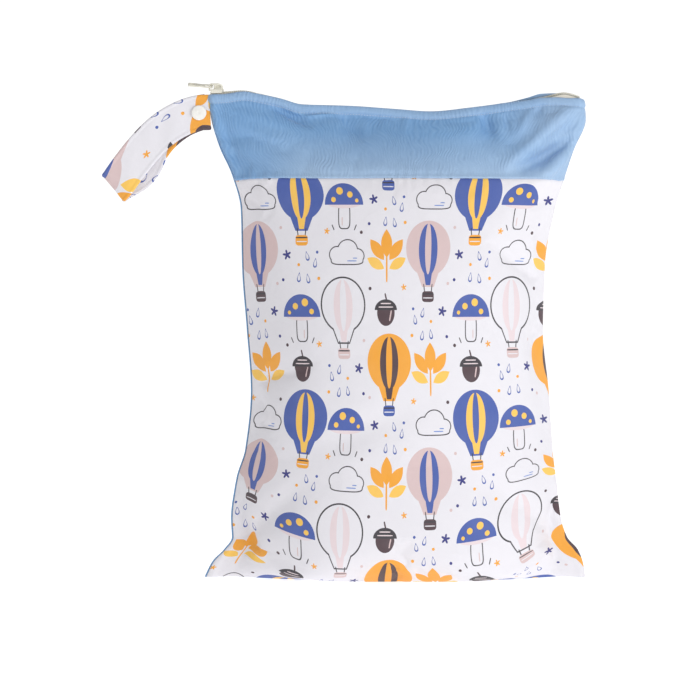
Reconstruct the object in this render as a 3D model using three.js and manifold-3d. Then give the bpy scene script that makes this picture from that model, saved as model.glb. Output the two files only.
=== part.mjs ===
// Zipped cloth wet bag, stuffed to its pillow form and standing on its flattened bottom.
// Millimetres. +Z is up, -Y is the printed front, +X is to the right as seen from the front.
// The origin lies on the underside of the printed panel, where the bag stands.

import * as THREE from 'three';
import { mergeVertices } from 'three/addons/utils/BufferGeometryUtils.js';
import Module from 'manifold-3d';

const wasm = await Module();
wasm.setup();

// Driving sizes of the bag
const TALL = 389;           // height of the side seams
const HALF_WIDE = 150;      // half of the width along the zip
const DEEP_FRONT = 62;      // bulge of the front, from the seams
const DEEP_BACK = 56;       // bulge of the back, from the seams
const BAND_TALL = 69;       // plain band between the zip and the printed panel
const SAG = 15;             // dip of the mouth between its corners
const SEAM_BACK = 8;        // how far behind the origin the bottom seam lies
const WALL = 1.2;           // waterproof cloth
const GAP = 0.3;            // clearance between neighbouring pieces

// Driving sizes of the zip
const TAPE = 0.7;           // thickness of the tape
const TAPE_LOW = 9;         // depth of the tape's lower edge below the mouth
const TAPE_SEWN = 5;        // depth of the upper end of the sewn stretch
const COIL_WIDE = 4.2;
const COIL_TALL = 2;
const COIL_SHOULDER = 0.55; // where the coil's sides start to slope in, as a share of its height
const COIL_TOP = 0.55;      // level top of the coil, as a share of its width
const SLIDER_LONG = 12.6;
const SLIDER_WIDE = 8;
const SLIDER_PLATE = 1.1;
const SLIDER_LIP = 2.2;     // how far the slider's sides reach down beside the coil
const LIP_LONG = 0.72;      // length of the lips, as a share of the slider's
const BRIDGE_WIDE = 1.6;
const BRIDGE_IN = 0.6;      // from the slider's inner end to the end of its bridge
const BRIDGE_BAR = 1.2;
const PULL_LONG = 19.2;     // from the pivot to the tip
const PULL_EYE = 5.2;       // from the pivot to the far end of its eye
const PULL_WIDE = 5.6;
const PULL_THICK = 1.2;
const PULL_BAR = 1.6;       // the bar of the pull that turns under the bridge
const PULL_ROLL = 25;       // degrees that the pull lies rolled towards the front
const PULL_LIFT = 5;        // degrees that its tip rises from level
const EDGE_ROUND = 0.4;     // rounded corners of the holes
const SLIDER_IN = 2.4;      // how far the pull's pivot lies in from the corner of the mouth
const SLIDER_PAST = 3.6;    // how far the slider's middle lies in from the pivot

// Driving sizes of the strap and its snap
const STRAP_WIDE = 27;
const STRAP_THICK = 2;
const STRAP_REACH = 77;     // how far the loop reaches out from the side seam
const STRAP_ROOT = 13;      // depth of the strap's middle below the corner of the mouth
const LOOP_OPEN = 14;       // spread of the loop's two layers
const SNAP_ROUND = 12;
const CAP_THICK = 2;
const CORE_ROUND = 0.8;     // width of the closed snap inside, as a share of SNAP_ROUND

// Mesh steps of the faceted solids
const STEPS_ACROSS = 30;
const FRONT_STEPS_UP = 22;
const BAND_STEPS_UP = 4;
const BACK_STEPS_UP = 22;
const STRAP_STEPS = { along: 34, across: 3 };
const ROUND_SIDES = 20;

const FRONT = -1;
const BACK = 1;

// Shares of the panels over which something grows to its full size
const SEAM_RISE = 0.5;      // of the height: the seams' way from behind the origin to over it
const FOLD_SIDE = 0.125;    // of the half width, in from a side seam: the folds
const FOLD_LOW = 0.0375;    // of the height, the level where the folds start
const FOLD_RISE = 0.0625;   // of the height, above that level: the folds
const FOLD_MOUTH = 0.025;   // of the cloth, down from the mouth: the folds
const BASE_EDGE = 1 / 12;   // of the cloth, up from the bottom seam: the second cloth's thickness

// Sections from the bottom seam to the mouth. side is the height at the side seams and middle the
// height in the middle, as shares of TALL. left and right are shares of HALF_WIDE, front and back
// of DEEP_FRONT and DEEP_BACK. fill is how far out the stuffing reaches, flat the share of it that
// stays level, round the power of the curve down to the seam. The first three rows are the base.
const SECTION_COLUMNS = ['side', 'left', 'right', 'middle', 'front', 'back', 'fill', 'flat', 'round'];
const SECTIONS = [
  [0.005, 1.013, 1.007, 0.000, 0.00, 0.00, 0.86, 0.45, 2.4],
  [0.036, 1.000, 0.993, 0.000, 0.30, 0.32, 0.86, 0.45, 2.4],
  [0.062, 0.945, 0.965, 0.000, 0.60, 0.62, 0.87, 0.45, 2.4],
  [0.087, 0.885, 0.910, 0.015, 0.82, 0.83, 0.90, 0.34, 2.3],
  [0.128, 0.878, 0.877, 0.056, 0.95, 0.95, 0.94, 0.22, 2.3],
  [0.206, 0.853, 0.860, 0.160, 1.00, 1.00, 0.99, 0.12, 2.2],
  [0.267, 0.815, 0.845, 0.247, 1.00, 1.00, 1.00, 0.06, 2.2],
  [0.391, 0.787, 0.825, 0.386, 0.98, 1.00, 1.00, 0.00, 2.2],
  [0.514, 0.805, 0.800, 0.514, 0.94, 0.96, 1.00, 0.00, 2.2],
  [0.638, 0.826, 0.806, 0.638, 0.86, 0.88, 1.00, 0.00, 2.2],
  [0.761, 0.833, 0.852, 0.761, 0.70, 0.72, 1.00, 0.00, 2.2],
  [0.828, 0.870, 0.900, 0.828, 0.57, 0.58, 1.00, 0.00, 2.2],
  [0.892, 0.935, 0.947, 0.892, 0.36, 0.37, 1.00, 0.00, 2.3],
  [0.959, 0.987, 1.005, 0.959, 0.13, 0.13, 1.00, 0.00, 2.6],
  [1.000, 1.000, 0.995, 1.000, 0.00, 0.00, 1.00, 0.00, 2.6],
].map((row) => Object.fromEntries(SECTION_COLUMNS.map((column, i) => [column, row[i]])));

// The mouth between its corners. across is a share of the half width, drop a share of SAG, and
// proud how far the zip stands above the cloth's edge, as a share of COIL_WIDE.
const MOUTH = [
  { across: -1.00, drop: 0.08, proud: 0.20 },
  { across: -0.92, drop: 0.05, proud: 0.10 },
  { across: -0.81, drop: -0.09, proud: -0.40 },
  { across: -0.75, drop: 0.01, proud: -0.40 },
  { across: -0.62, drop: 0.28, proud: -0.45 },
  { across: -0.50, drop: 0.60, proud: -0.50 },
  { across: -0.25, drop: 0.68, proud: -0.60 },
  { across: 0.00, drop: 0.85, proud: -0.60 },
  { across: 0.18, drop: 0.97, proud: -0.60 },
  { across: 0.40, drop: 0.76, proud: -0.55 },
  { across: 0.60, drop: 0.48, proud: -0.50 },
  { across: 0.78, drop: 0.02, proud: -0.43 },
  { across: 0.88, drop: 0.00, proud: -0.40 },
  { across: 1.00, drop: 0.33, proud: -0.10 },
];

// Folds and dents of a panel: place as shares of HALF_WIDE and TALL, turn in degrees from level,
// long and wide as shares of HALF_WIDE, deep as a share of DEEP_FRONT, inward where it is positive.
const FRONT_FOLDS = [
  { across: 0.76, up: 0.912, turn: 46, long: 0.26, wide: 0.055, deep: -0.075 },
  { across: 0.80, up: 0.873, turn: 26, long: 0.18, wide: 0.050, deep: 0.100 },
  { across: 0.87, up: 0.848, turn: 52, long: 0.14, wide: 0.050, deep: -0.070 },
  { across: -0.58, up: 0.962, turn: -26, long: 0.16, wide: 0.045, deep: 0.060 },
  { across: -0.37, up: 0.965, turn: 12, long: 0.14, wide: 0.045, deep: 0.050 },
  { across: -0.10, up: 0.935, turn: -16, long: 0.20, wide: 0.090, deep: 0.070 },
  { across: 0.48, up: 0.925, turn: 96, long: 0.12, wide: 0.060, deep: 0.060 },
  { across: 0.05, up: 0.830, turn: 4, long: 0.55, wide: 0.060, deep: 0.035 },
  { across: -0.22, up: 0.300, turn: 24, long: 0.26, wide: 0.080, deep: 0.055 },
  { across: 0.62, up: 0.650, turn: -30, long: 0.22, wide: 0.080, deep: 0.050 },
  { across: -0.66, up: 0.420, turn: 14, long: 0.24, wide: 0.070, deep: 0.070 },
  { across: 0.60, up: 0.160, turn: -36, long: 0.26, wide: 0.080, deep: 0.070 },
  { across: -0.66, up: 0.130, turn: 42, long: 0.26, wide: 0.070, deep: 0.080 },
];
const BACK_FOLDS = [
  { across: -0.70, up: 0.890, turn: -44, long: 0.26, wide: 0.070, deep: 0.080 },
  { across: 0.72, up: 0.880, turn: 40, long: 0.28, wide: 0.070, deep: 0.080 },
  { across: 0.10, up: 0.920, turn: 8, long: 0.34, wide: 0.080, deep: 0.070 },
  { across: -0.40, up: 0.470, turn: 28, long: 0.34, wide: 0.090, deep: 0.060 },
  { across: 0.52, up: 0.400, turn: -24, long: 0.30, wide: 0.090, deep: 0.060 },
  { across: 0.62, up: 0.140, turn: -38, long: 0.26, wide: 0.080, deep: 0.080 },
  { across: -0.62, up: 0.140, turn: 38, long: 0.26, wide: 0.080, deep: 0.080 },
];

// The strap's middle line, from the side seam round the loop and back to the snap. out and down are
// shares of STRAP_REACH, apart a share of LOOP_OPEN (towards the front where negative), and lean
// the angle in degrees of the line across the strap.
const STRAP_LINE = [
  { out: 0.006, down: 0.026, apart: -0.06, lean: 101 },
  { out: 0.115, down: 0.032, apart: -0.08, lean: 104 },
  { out: 0.230, down: 0.064, apart: -0.12, lean: 109 },
  { out: 0.385, down: 0.140, apart: -0.34, lean: 121 },
  { out: 0.530, down: 0.247, apart: -0.50, lean: 131 },
  { out: 0.675, down: 0.394, apart: -0.50, lean: 137 },
  { out: 0.825, down: 0.580, apart: -0.46, lean: 140 },
  { out: 0.955, down: 0.758, apart: -0.34, lean: 131 },
  { out: 1.000, down: 0.810, apart: 0.02, lean: 129 },
  { out: 0.930, down: 0.760, apart: 0.40, lean: 131 },
  { out: 0.760, down: 0.657, apart: 0.52, lean: 140 },
  { out: 0.675, down: 0.548, apart: 0.54, lean: 153 },
  { out: 0.620, down: 0.420, apart: 0.53, lean: 157 },
  { out: 0.500, down: 0.262, apart: 0.46, lean: 138 },
  { out: 0.300, down: 0.107, apart: 0.32, lean: 122 },
  { out: 0.115, down: 0.032, apart: 0.24, lean: 106 },
  { out: 0.030, down: 0.016, apart: 0.22, lean: 103 },
];

const clamp = (value, low, high) => Math.min(high, Math.max(low, value));

// A smooth curve through a table's column that keeps level stretches level.
function tableCurve(places, values) {
  const last = places.length - 1;
  const slopes = [];
  for (let i = 0; i < last; i += 1) {
    slopes.push((values[i + 1] - values[i]) / (places[i + 1] - places[i]));
  }
  const tangents = places.map((_, i) => {
    if (i === 0) return slopes[0];
    if (i === last) return slopes[last - 1];
    const [before, after] = [slopes[i - 1], slopes[i]];
    return before * after <= 0 ? 0 : (2 * before * after) / (before + after);
  });
  return (place) => {
    const at = clamp(place, places[0], places[last]);
    let i = 0;
    while (i < last - 1 && at > places[i + 1]) i += 1;
    const step = places[i + 1] - places[i];
    const t = (at - places[i]) / step;
    const rise = t * t * (3 - 2 * t);
    return values[i] * (1 - rise) + values[i + 1] * rise
      + step * t * (1 - t) * (tangents[i] * (1 - t) - tangents[i + 1] * t);
  };
}

// Where each section lies along the cloth, from 0 at the bottom seam to 1 at the mouth.
const clothStarts = [0];
for (let i = 1; i < SECTIONS.length; i += 1) {
  const [below, above] = [SECTIONS[i - 1], SECTIONS[i]];
  const step = Math.hypot((above.middle - below.middle) * TALL, (above.front - below.front) * DEEP_FRONT);
  clothStarts.push(clothStarts[i - 1] + step);
}
const CLOTH_LONG = clothStarts[clothStarts.length - 1];
const sectionPlaces = clothStarts.map((start) => start / CLOTH_LONG);
const section = {};
for (const column of Object.keys(SECTIONS[0])) {
  section[column] = tableCurve(sectionPlaces, SECTIONS.map((row) => row[column]));
}
const mouthPlaces = MOUTH.map((row) => row.across);
const mouthDrop = tableCurve(mouthPlaces, MOUTH.map((row) => row.drop * SAG));
const zipProud = tableCurve(mouthPlaces, MOUTH.map((row) => row.proud * COIL_WIDE));

// How far along the cloth its middle reaches a height.
function clothAtHeight(height) {
  let [low, high] = [0, 1];
  for (let i = 0; i < 40; i += 1) {
    const half = (low + high) / 2;
    if (section.middle(half) * TALL < height) low = half;
    else high = half;
  }
  return high;
}
const SEAM_AT = clothAtHeight(TALL - BAND_TALL);
const ZIP_ROOM_FROM = sectionPlaces[sectionPlaces.length - 3];
const ZIP_ROOM_TO = sectionPlaces[sectionPlaces.length - 2];
const ZIP_ROOM = COIL_WIDE / 2;

// The seams lie behind the origin at the bottom and over it at the mouth.
function seamPlace(up) {
  return SEAM_BACK * (1 - THREE.MathUtils.smoothstep(section.side(up), 0, SEAM_RISE));
}

function foldDepth(folds, x, z) {
  let depth = 0;
  for (const fold of folds) {
    const turn = THREE.MathUtils.degToRad(fold.turn);
    const dx = x - fold.across * HALF_WIDE;
    const dz = z - fold.up * TALL;
    const along = (dx * Math.cos(turn) + dz * Math.sin(turn)) / (fold.long * HALF_WIDE);
    const beside = (dz * Math.cos(turn) - dx * Math.sin(turn)) / (fold.wide * HALF_WIDE);
    depth += fold.deep * DEEP_FRONT * Math.exp(-along * along - beside * beside);
  }
  return depth;
}

// A point on the outside of a panel. across runs from -1 to 1 between the side seams, up from 0 at
// the bottom seam to 1 at the mouth.
function outerPoint(face, across, up) {
  const out = Math.abs(across);
  const x = (across < 0 ? -section.left(up) : section.right(up)) * HALF_WIDE * out;
  const deepest = face === FRONT ? section.front(up) * DEEP_FRONT : section.back(up) * DEEP_BACK;
  const past = clamp((out / section.fill(up) - section.flat(up)) / (1 - section.flat(up)), 0, 1);
  const full = 1 - past ** section.round(up);
  const room = ZIP_ROOM * THREE.MathUtils.smoothstep(up, ZIP_ROOM_FROM, ZIP_ROOM_TO);
  const sagging = THREE.MathUtils.smoothstep(up, SEAM_AT, 1);
  const height = THREE.MathUtils.lerp(section.side(up), section.middle(up), full) * TALL;
  const z = height - mouthDrop(across) * sagging;
  const fade = clamp((1 - out) / FOLD_SIDE, 0, 1) * clamp((z / TALL - FOLD_LOW) / FOLD_RISE, 0, 1)
    * clamp((1 - up) / FOLD_MOUTH, 0, 1);
  const fold = fade * foldDepth(face === FRONT ? FRONT_FOLDS : BACK_FOLDS, x, z);
  const deep = THREE.MathUtils.lerp(WALL, deepest + WALL * clamp(up / BASE_EDGE, 0, 1), full);
  return new THREE.Vector3(x, seamPlace(up) + face * (GAP / 2 + room + deep - fold), Math.max(0, z));
}

// The outward direction of a panel at a point, from its neighbours a short way along the cloth.
const NORMAL_REACH = 0.004;
function outwardAt(face, across, up) {
  const reach = NORMAL_REACH;
  const [left, right] = [Math.max(-1, across - reach), Math.min(1, across + reach)];
  const [low, high] = [Math.max(0, up - reach), Math.min(1, up + reach)];
  const alongX = outerPoint(face, right, up).sub(outerPoint(face, left, up));
  const alongUp = outerPoint(face, across, high).sub(outerPoint(face, across, low));
  return alongX.cross(alongUp).normalize().multiplyScalar(-face);
}

// A point under the cloth's outside by a depth, kept on the panel's own side of the seam plane.
function innerPoint(face, across, up, depth) {
  const point = outerPoint(face, across, up).addScaledVector(outwardAt(face, across, up), -depth);
  const plane = seamPlace(up) + (face * GAP) / 2;
  point.y = face === FRONT ? Math.min(point.y, plane) : Math.max(point.y, plane);
  return point;
}

// A closed solid between two grids of points, each grid[row][column]. A viewer outside sees the
// outer grid's rows run up and its columns run to the right.
function solidBetween(outer, inner) {
  const rows = outer.length;
  const columns = outer[0].length;
  const positions = [];
  for (const grid of [outer, inner]) {
    for (const row of grid) {
      for (const point of row) positions.push(point.x, point.y, point.z);
    }
  }
  const [top, last] = [rows - 1, columns - 1];
  const outside = (i, j) => i * columns + j;
  const inside = (i, j) => (rows + i) * columns + j;
  const faces = [];
  const quad = (a, b, c, d) => faces.push(a, b, c, a, c, d);
  for (let i = 0; i < top; i += 1) {
    for (let j = 0; j < last; j += 1) {
      quad(outside(i, j), outside(i, j + 1), outside(i + 1, j + 1), outside(i + 1, j));
      quad(inside(i, j), inside(i + 1, j), inside(i + 1, j + 1), inside(i, j + 1));
    }
  }
  for (let i = 0; i < top; i += 1) {
    quad(outside(i, 0), outside(i + 1, 0), inside(i + 1, 0), inside(i, 0));
    quad(outside(i + 1, last), outside(i, last), inside(i, last), inside(i + 1, last));
  }
  for (let j = 0; j < last; j += 1) {
    quad(outside(0, j + 1), outside(0, j), inside(0, j), inside(0, j + 1));
    quad(outside(top, j), outside(top, j + 1), inside(top, j + 1), inside(top, j));
  }
  const geometry = new THREE.BufferGeometry();
  geometry.setAttribute('position', new THREE.Float32BufferAttribute(positions, 3));
  geometry.setIndex(faces);
  return geometry;
}

function steps(count, from, to) {
  return Array.from({ length: count + 1 }, (_, i) => from + ((to - from) * i) / count);
}

// The places across a panel, from its left to its right for a viewer outside.
const placesAcross = (face) => (face === FRONT ? steps(STEPS_ACROSS, -1, 1) : steps(STEPS_ACROSS, 1, -1));

// The rows of a panel that the tape is sewn to, which both pieces share.
const SEWN = [TAPE_LOW, TAPE_SEWN].map((depth) => 1 - depth / CLOTH_LONG);

// One cloth panel between two places along the cloth.
function panel(face, up) {
  const across = placesAcross(face);
  const outer = up.map((row) => across.map((column) => outerPoint(face, column, row)));
  const inner = up.map((row) => across.map((column) => innerPoint(face, column, row, WALL)));
  return solidBetween(outer, inner);
}

const HALF_SEAM_GAP = GAP / CLOTH_LONG / 2;
const upToMouth = (count, from) => [...steps(count, from, SEWN[0]), SEWN[1], 1];
const bandGeometry = () => panel(FRONT, upToMouth(BAND_STEPS_UP, SEAM_AT + HALF_SEAM_GAP));
const frontGeometry = () => panel(FRONT, steps(FRONT_STEPS_UP, 0, SEAM_AT - HALF_SEAM_GAP));
const backGeometry = () => panel(BACK, upToMouth(BACK_STEPS_UP, 0));

// Where the zip's coil rests on the tapes, at a place across the mouth.
function zipPoint(across) {
  const edge = outerPoint(FRONT, across, 1);
  return new THREE.Vector3(edge.x, seamPlace(1), edge.z + zipProud(across));
}

// A tape is sewn to the inside of the mouth and bends over to the coil.
function tapeGeometry(face) {
  const across = placesAcross(face);
  const layer = (under) => {
    const depth = WALL + GAP + under;
    const rows = SEWN.map((up) => across.map((column) => innerPoint(face, column, up, depth)));
    rows.push(across.map((column) => {
      const point = zipPoint(column);
      point.y += face * (GAP / 2 + TAPE - under);
      return point;
    }));
    return rows;
  };
  return solidBetween(layer(0), layer(TAPE));
}

// The closed coil along the mouth, a flat bar with sloping shoulders.
function coilGeometry() {
  const half = COIL_WIDE / 2;
  const shoulder = COIL_TALL * COIL_SHOULDER;
  const profile = [
    { y: -half, z: 0 }, { y: -half, z: shoulder }, { y: -half * COIL_TOP, z: COIL_TALL },
    { y: half * COIL_TOP, z: COIL_TALL }, { y: half, z: shoulder }, { y: half, z: 0 },
  ];
  const across = placesAcross(FRONT);
  const positions = [];
  for (const column of across) {
    const point = zipPoint(column);
    for (const corner of profile) positions.push(point.x, point.y + corner.y, point.z + GAP + corner.z);
  }
  const sides = profile.length;
  const faces = [];
  for (let i = 0; i < across.length - 1; i += 1) {
    for (let k = 0; k < sides; k += 1) {
      const [a, b] = [i * sides + k, i * sides + ((k + 1) % sides)];
      faces.push(a, b + sides, b, a, a + sides, b + sides);
    }
  }
  const end = (across.length - 1) * sides;
  for (let k = 1; k < sides - 1; k += 1) faces.push(0, k, k + 1, end, end + k + 1, end + k);
  const geometry = new THREE.BufferGeometry();
  geometry.setAttribute('position', new THREE.Float32BufferAttribute(positions, 3));
  geometry.setIndex(faces);
  return geometry;
}

// Joins and cuts of closed solids
function toSolid(geometry) {
  const bare = geometry.index ? geometry.toNonIndexed() : geometry.clone();
  for (const name of Object.keys(bare.attributes)) {
    if (name !== 'position') bare.deleteAttribute(name);
  }
  const merged = mergeVertices(bare, 1e-4);
  return new wasm.Manifold(new wasm.Mesh({
    numProp: 3,
    vertProperties: new Float32Array(merged.attributes.position.array),
    triVerts: new Uint32Array(merged.index.array),
  }));
}

function toGeometry(solid) {
  const mesh = solid.getMesh();
  const geometry = new THREE.BufferGeometry();
  geometry.setAttribute('position', new THREE.Float32BufferAttribute(mesh.vertProperties, 3));
  geometry.setIndex(Array.from(mesh.triVerts));
  return geometry;
}

// An outline with rounded corners around a rectangle.
function roundedOutline(low, high, radius, outline = new THREE.Shape()) {
  outline.moveTo(low.x + radius, low.y);
  outline.lineTo(high.x - radius, low.y);
  outline.absarc(high.x - radius, low.y + radius, radius, -Math.PI / 2, 0);
  outline.lineTo(high.x, high.y - radius);
  outline.absarc(high.x - radius, high.y - radius, radius, 0, Math.PI / 2);
  outline.lineTo(low.x + radius, high.y);
  outline.absarc(low.x + radius, high.y - radius, radius, Math.PI / 2, Math.PI);
  outline.lineTo(low.x, low.y + radius);
  outline.absarc(low.x + radius, low.y + radius, radius, Math.PI, Math.PI * 1.5);
  return outline;
}

function slab(outline, thick) {
  return new THREE.ExtrudeGeometry(outline, { depth: thick, bevelEnabled: false, curveSegments: 4 });
}

// The pull's bar turns about the pivot. The room under it is for its arms, which stand lower on one
// side because the pull is rolled, and the room over it is for the bar alone.
const ROLL = THREE.MathUtils.degToRad(PULL_ROLL);
const barLow = (Math.tan(ROLL) * BRIDGE_WIDE + Math.cos(ROLL) * PULL_THICK) / 2;
const armLow = (Math.sin(ROLL) * PULL_WIDE + Math.cos(ROLL) * PULL_THICK) / 2;
const ROOM_OVER = Math.hypot(PULL_BAR / 2, barLow) + GAP;
const ROOM_UNDER = Math.hypot(PULL_BAR / 2, armLow) + GAP;

// The pivot, over the coil near the left corner of the mouth
const SLIDER_ACROSS = -1 + SLIDER_IN / HALF_WIDE;
const sliderInner = SLIDER_PAST + SLIDER_LONG / 2;
const sliderEnds = [-1, SLIDER_ACROSS, SLIDER_ACROSS + sliderInner / HALF_WIDE];
const PLATE_AT = Math.max(...sliderEnds.map((place) => zipPoint(place).z)) + GAP + COIL_TALL + GAP;
const PIVOT = zipPoint(SLIDER_ACROSS).setZ(PLATE_AT + SLIDER_PLATE + ROOM_UNDER);

// The slider: a plate over the coil, two lips beside it and a long bridge, which the pull's bar
// passes under at its outer end. It is made around the pivot.
function sliderGeometry() {
  const bottom = -ROOM_UNDER - SLIDER_PLATE;
  const half = { x: SLIDER_LONG / 2, y: SLIDER_WIDE / 2 };
  const round = SLIDER_WIDE * 0.3;
  const plate = slab(roundedOutline({ x: -half.x, y: -half.y }, half, round), SLIDER_PLATE);
  plate.translate(SLIDER_PAST, 0, bottom);
  const lipThick = half.y - COIL_WIDE / 2 - GAP;
  const lips = [-1, 1].map((sign) => {
    const lip = new THREE.BoxGeometry(SLIDER_LONG * LIP_LONG, lipThick, SLIDER_LIP + SLIDER_PLATE / 2);
    const lipMiddle = bottom - SLIDER_LIP / 2 + SLIDER_PLATE / 4;
    lip.translate(SLIDER_PAST, sign * (half.y - lipThick / 2), lipMiddle);
    return lip;
  });
  const foot = { x: -ROOM_OVER - BRIDGE_BAR, y: bottom + SLIDER_PLATE / 2 };
  const crown = { x: sliderInner - BRIDGE_IN, y: ROOM_OVER + BRIDGE_BAR };
  const arch = roundedOutline(foot, crown, BRIDGE_BAR);
  const [low, high] = [{ x: -ROOM_OVER, y: -ROOM_UNDER }, { x: ROOM_OVER, y: ROOM_OVER }];
  arch.holes.push(roundedOutline(low, high, EDGE_ROUND, new THREE.Path()));
  const bridge = slab(arch, BRIDGE_WIDE);
  bridge.rotateX(Math.PI / 2);
  bridge.translate(0, BRIDGE_WIDE / 2, 0);
  return toGeometry(wasm.Manifold.union([plate, ...lips, bridge].map(toSolid)));
}

// The pull: a flat tab whose eye lies round the bridge. It is made around the pivot, points to -X
// and is then rolled towards the front and lifted.
function pullGeometry() {
  const eyeWide = (BRIDGE_WIDE + 2 * GAP) / Math.cos(ROLL) + PULL_THICK * Math.tan(ROLL);
  const [tip, root] = [{ x: -PULL_LONG, y: -PULL_WIDE / 2 }, { x: PULL_BAR / 2, y: PULL_WIDE / 2 }];
  const outline = roundedOutline(tip, root, PULL_WIDE * 0.3);
  const eye = [{ x: -PULL_EYE, y: -eyeWide / 2 }, { x: -PULL_BAR / 2, y: eyeWide / 2 }];
  outline.holes.push(roundedOutline(...eye, EDGE_ROUND, new THREE.Path()));
  const geometry = slab(outline, PULL_THICK);
  geometry.translate(0, 0, -PULL_THICK / 2);
  geometry.rotateX(ROLL);
  geometry.rotateY(THREE.MathUtils.degToRad(PULL_LIFT));
  return geometry;
}

const strapPlaces = STRAP_LINE.map((_, i) => i / (STRAP_LINE.length - 1));
const strapCurve = new THREE.CatmullRomCurve3(STRAP_LINE.map((row) => new THREE.Vector3(
  -row.out * STRAP_REACH, row.apart * LOOP_OPEN, -row.down * STRAP_REACH)), false, 'centripetal');
const leans = STRAP_LINE.map((row) => THREE.MathUtils.degToRad(row.lean));
const strapLean = tableCurve(strapPlaces, leans);

// The strap starts at the left side seam, clear of its rounded corner.
const ROOT_AT = clothAtHeight(TALL - STRAP_ROOT);
const ROOT_OUT = section.left(ROOT_AT) * HALF_WIDE + GAP * 2;
const ROOT = new THREE.Vector3(-ROOT_OUT, seamPlace(1), TALL - STRAP_ROOT);

// The strap's middle, its width direction and its outward normal at a share of its length.
function strapFrame(place) {
  const middle = strapCurve.getPoint(place).add(ROOT);
  const along = strapCurve.getTangent(place);
  const lean = strapLean(place);
  const wide = new THREE.Vector3(Math.cos(lean), 0, Math.sin(lean));
  wide.addScaledVector(along, -wide.dot(along)).normalize();
  return { middle, wide, normal: along.clone().cross(wide).normalize() };
}

function strapGeometry() {
  const layer = (side) => steps(STRAP_STEPS.along, 0, 1).map((place) => {
    const { middle, wide, normal } = strapFrame(place);
    return steps(STRAP_STEPS.across, -0.5, 0.5).map((share) => middle.clone()
      .addScaledVector(wide, share * STRAP_WIDE).addScaledVector(normal, (side * STRAP_THICK) / 2));
  });
  return solidBetween(layer(-1), layer(1));
}

// The places where the snap pierces the strap: next to its root and next to its free end.
const snapRoot = strapFrame(1 / (STRAP_LINE.length - 1));
const snapEnd = strapFrame(1 - 1 / (STRAP_LINE.length - 1));

// A turned piece of the snap, from a profile of radius and height, made upright around the origin.
function turned(profile) {
  const outline = profile.map(([radius, height]) => new THREE.Vector2(radius, height));
  return new THREE.LatheGeometry(outline, ROUND_SIDES);
}

function capGeometry() {
  const dome = [[0, 0], [1, 0], [1, 0.45], [0.86, 0.85], [0.45, 1], [0, 1]];
  return turned(dome.map(([out, high]) => [(out * SNAP_ROUND) / 2, high * CAP_THICK]));
}

// The closed snap between the strap's two layers.
const SNAP_ROOM = snapRoot.middle.distanceTo(snapEnd.middle) - STRAP_THICK - 3 * GAP;
function snapCoreGeometry() {
  const radius = (SNAP_ROUND * CORE_ROUND) / 2;
  const half = SNAP_ROOM / 2;
  return turned([[0, -half], [radius, -half], [radius, half], [0, half]]);
}

// Finishes
const finish = (color, roughness) => new THREE.MeshStandardMaterial({ color, roughness, metalness: 0 });
const printedCloth = () => finish(0xf2efee, 0.78);
const blueCloth = () => finish(0x84a8ce, 0.7);
const creamTape = () => finish(0xf1ece2, 0.8);
const creamPlastic = () => finish(0xf4f1ea, 0.4);

const bag = new THREE.Group();

function piece(name, geometry, material, place) {
  const mesh = new THREE.Mesh(geometry, material);
  mesh.name = name;
  if (place) mesh.position.copy(place);
  bag.add(mesh);
  return mesh;
}

piece('front_panel', frontGeometry(), printedCloth());
piece('front_band', bandGeometry(), blueCloth());
piece('back_panel', backGeometry(), blueCloth());
piece('zip_tape_front', tapeGeometry(FRONT), creamTape());
piece('zip_tape_back', tapeGeometry(BACK), creamTape());
piece('zip_coil', coilGeometry(), creamPlastic());
piece('zip_slider', sliderGeometry(), creamPlastic(), PIVOT);
piece('zip_pull', pullGeometry(), creamPlastic(), PIVOT);
piece('strap', strapGeometry(), printedCloth());

// The snap's pieces lie square on the strap.
const upright = new THREE.Vector3(0, 1, 0);
const capSeat = STRAP_THICK / 2 + GAP;
for (const [name, frame] of [['snap_cap', snapRoot], ['snap_cap_rear', snapEnd]]) {
  const outward = frame.normal.clone().negate();
  const seat = frame.middle.clone().addScaledVector(outward, capSeat);
  const cap = piece(name, capGeometry(), creamPlastic(), seat);
  cap.quaternion.setFromUnitVectors(upright, outward);
}
const coreMiddle = snapRoot.middle.clone().lerp(snapEnd.middle, 0.5);
const core = piece('snap_core', snapCoreGeometry(), creamPlastic(), coreMiddle);
core.quaternion.setFromUnitVectors(upright, snapEnd.middle.clone().sub(snapRoot.middle).normalize());

export default bag;
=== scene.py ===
# Cloth wet bag, stuffed to its pillow form and standing on its bottom.
# Metres, +Z up, printed front towards -Y.
import math

import bmesh
import bpy
import numpy as np
from mathutils import Matrix, Vector


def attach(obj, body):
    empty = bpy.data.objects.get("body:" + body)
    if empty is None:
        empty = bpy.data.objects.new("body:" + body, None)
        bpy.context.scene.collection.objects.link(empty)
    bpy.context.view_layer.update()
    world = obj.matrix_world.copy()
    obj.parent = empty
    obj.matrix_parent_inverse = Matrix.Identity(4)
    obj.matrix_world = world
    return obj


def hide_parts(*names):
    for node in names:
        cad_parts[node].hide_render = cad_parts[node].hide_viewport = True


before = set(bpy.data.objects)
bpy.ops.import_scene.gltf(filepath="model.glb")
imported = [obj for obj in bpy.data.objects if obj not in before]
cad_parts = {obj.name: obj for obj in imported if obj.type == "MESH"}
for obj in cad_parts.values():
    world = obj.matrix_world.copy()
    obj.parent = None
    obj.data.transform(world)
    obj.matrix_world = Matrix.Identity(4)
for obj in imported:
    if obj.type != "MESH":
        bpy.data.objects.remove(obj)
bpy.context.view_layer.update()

MM = 0.001

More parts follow.
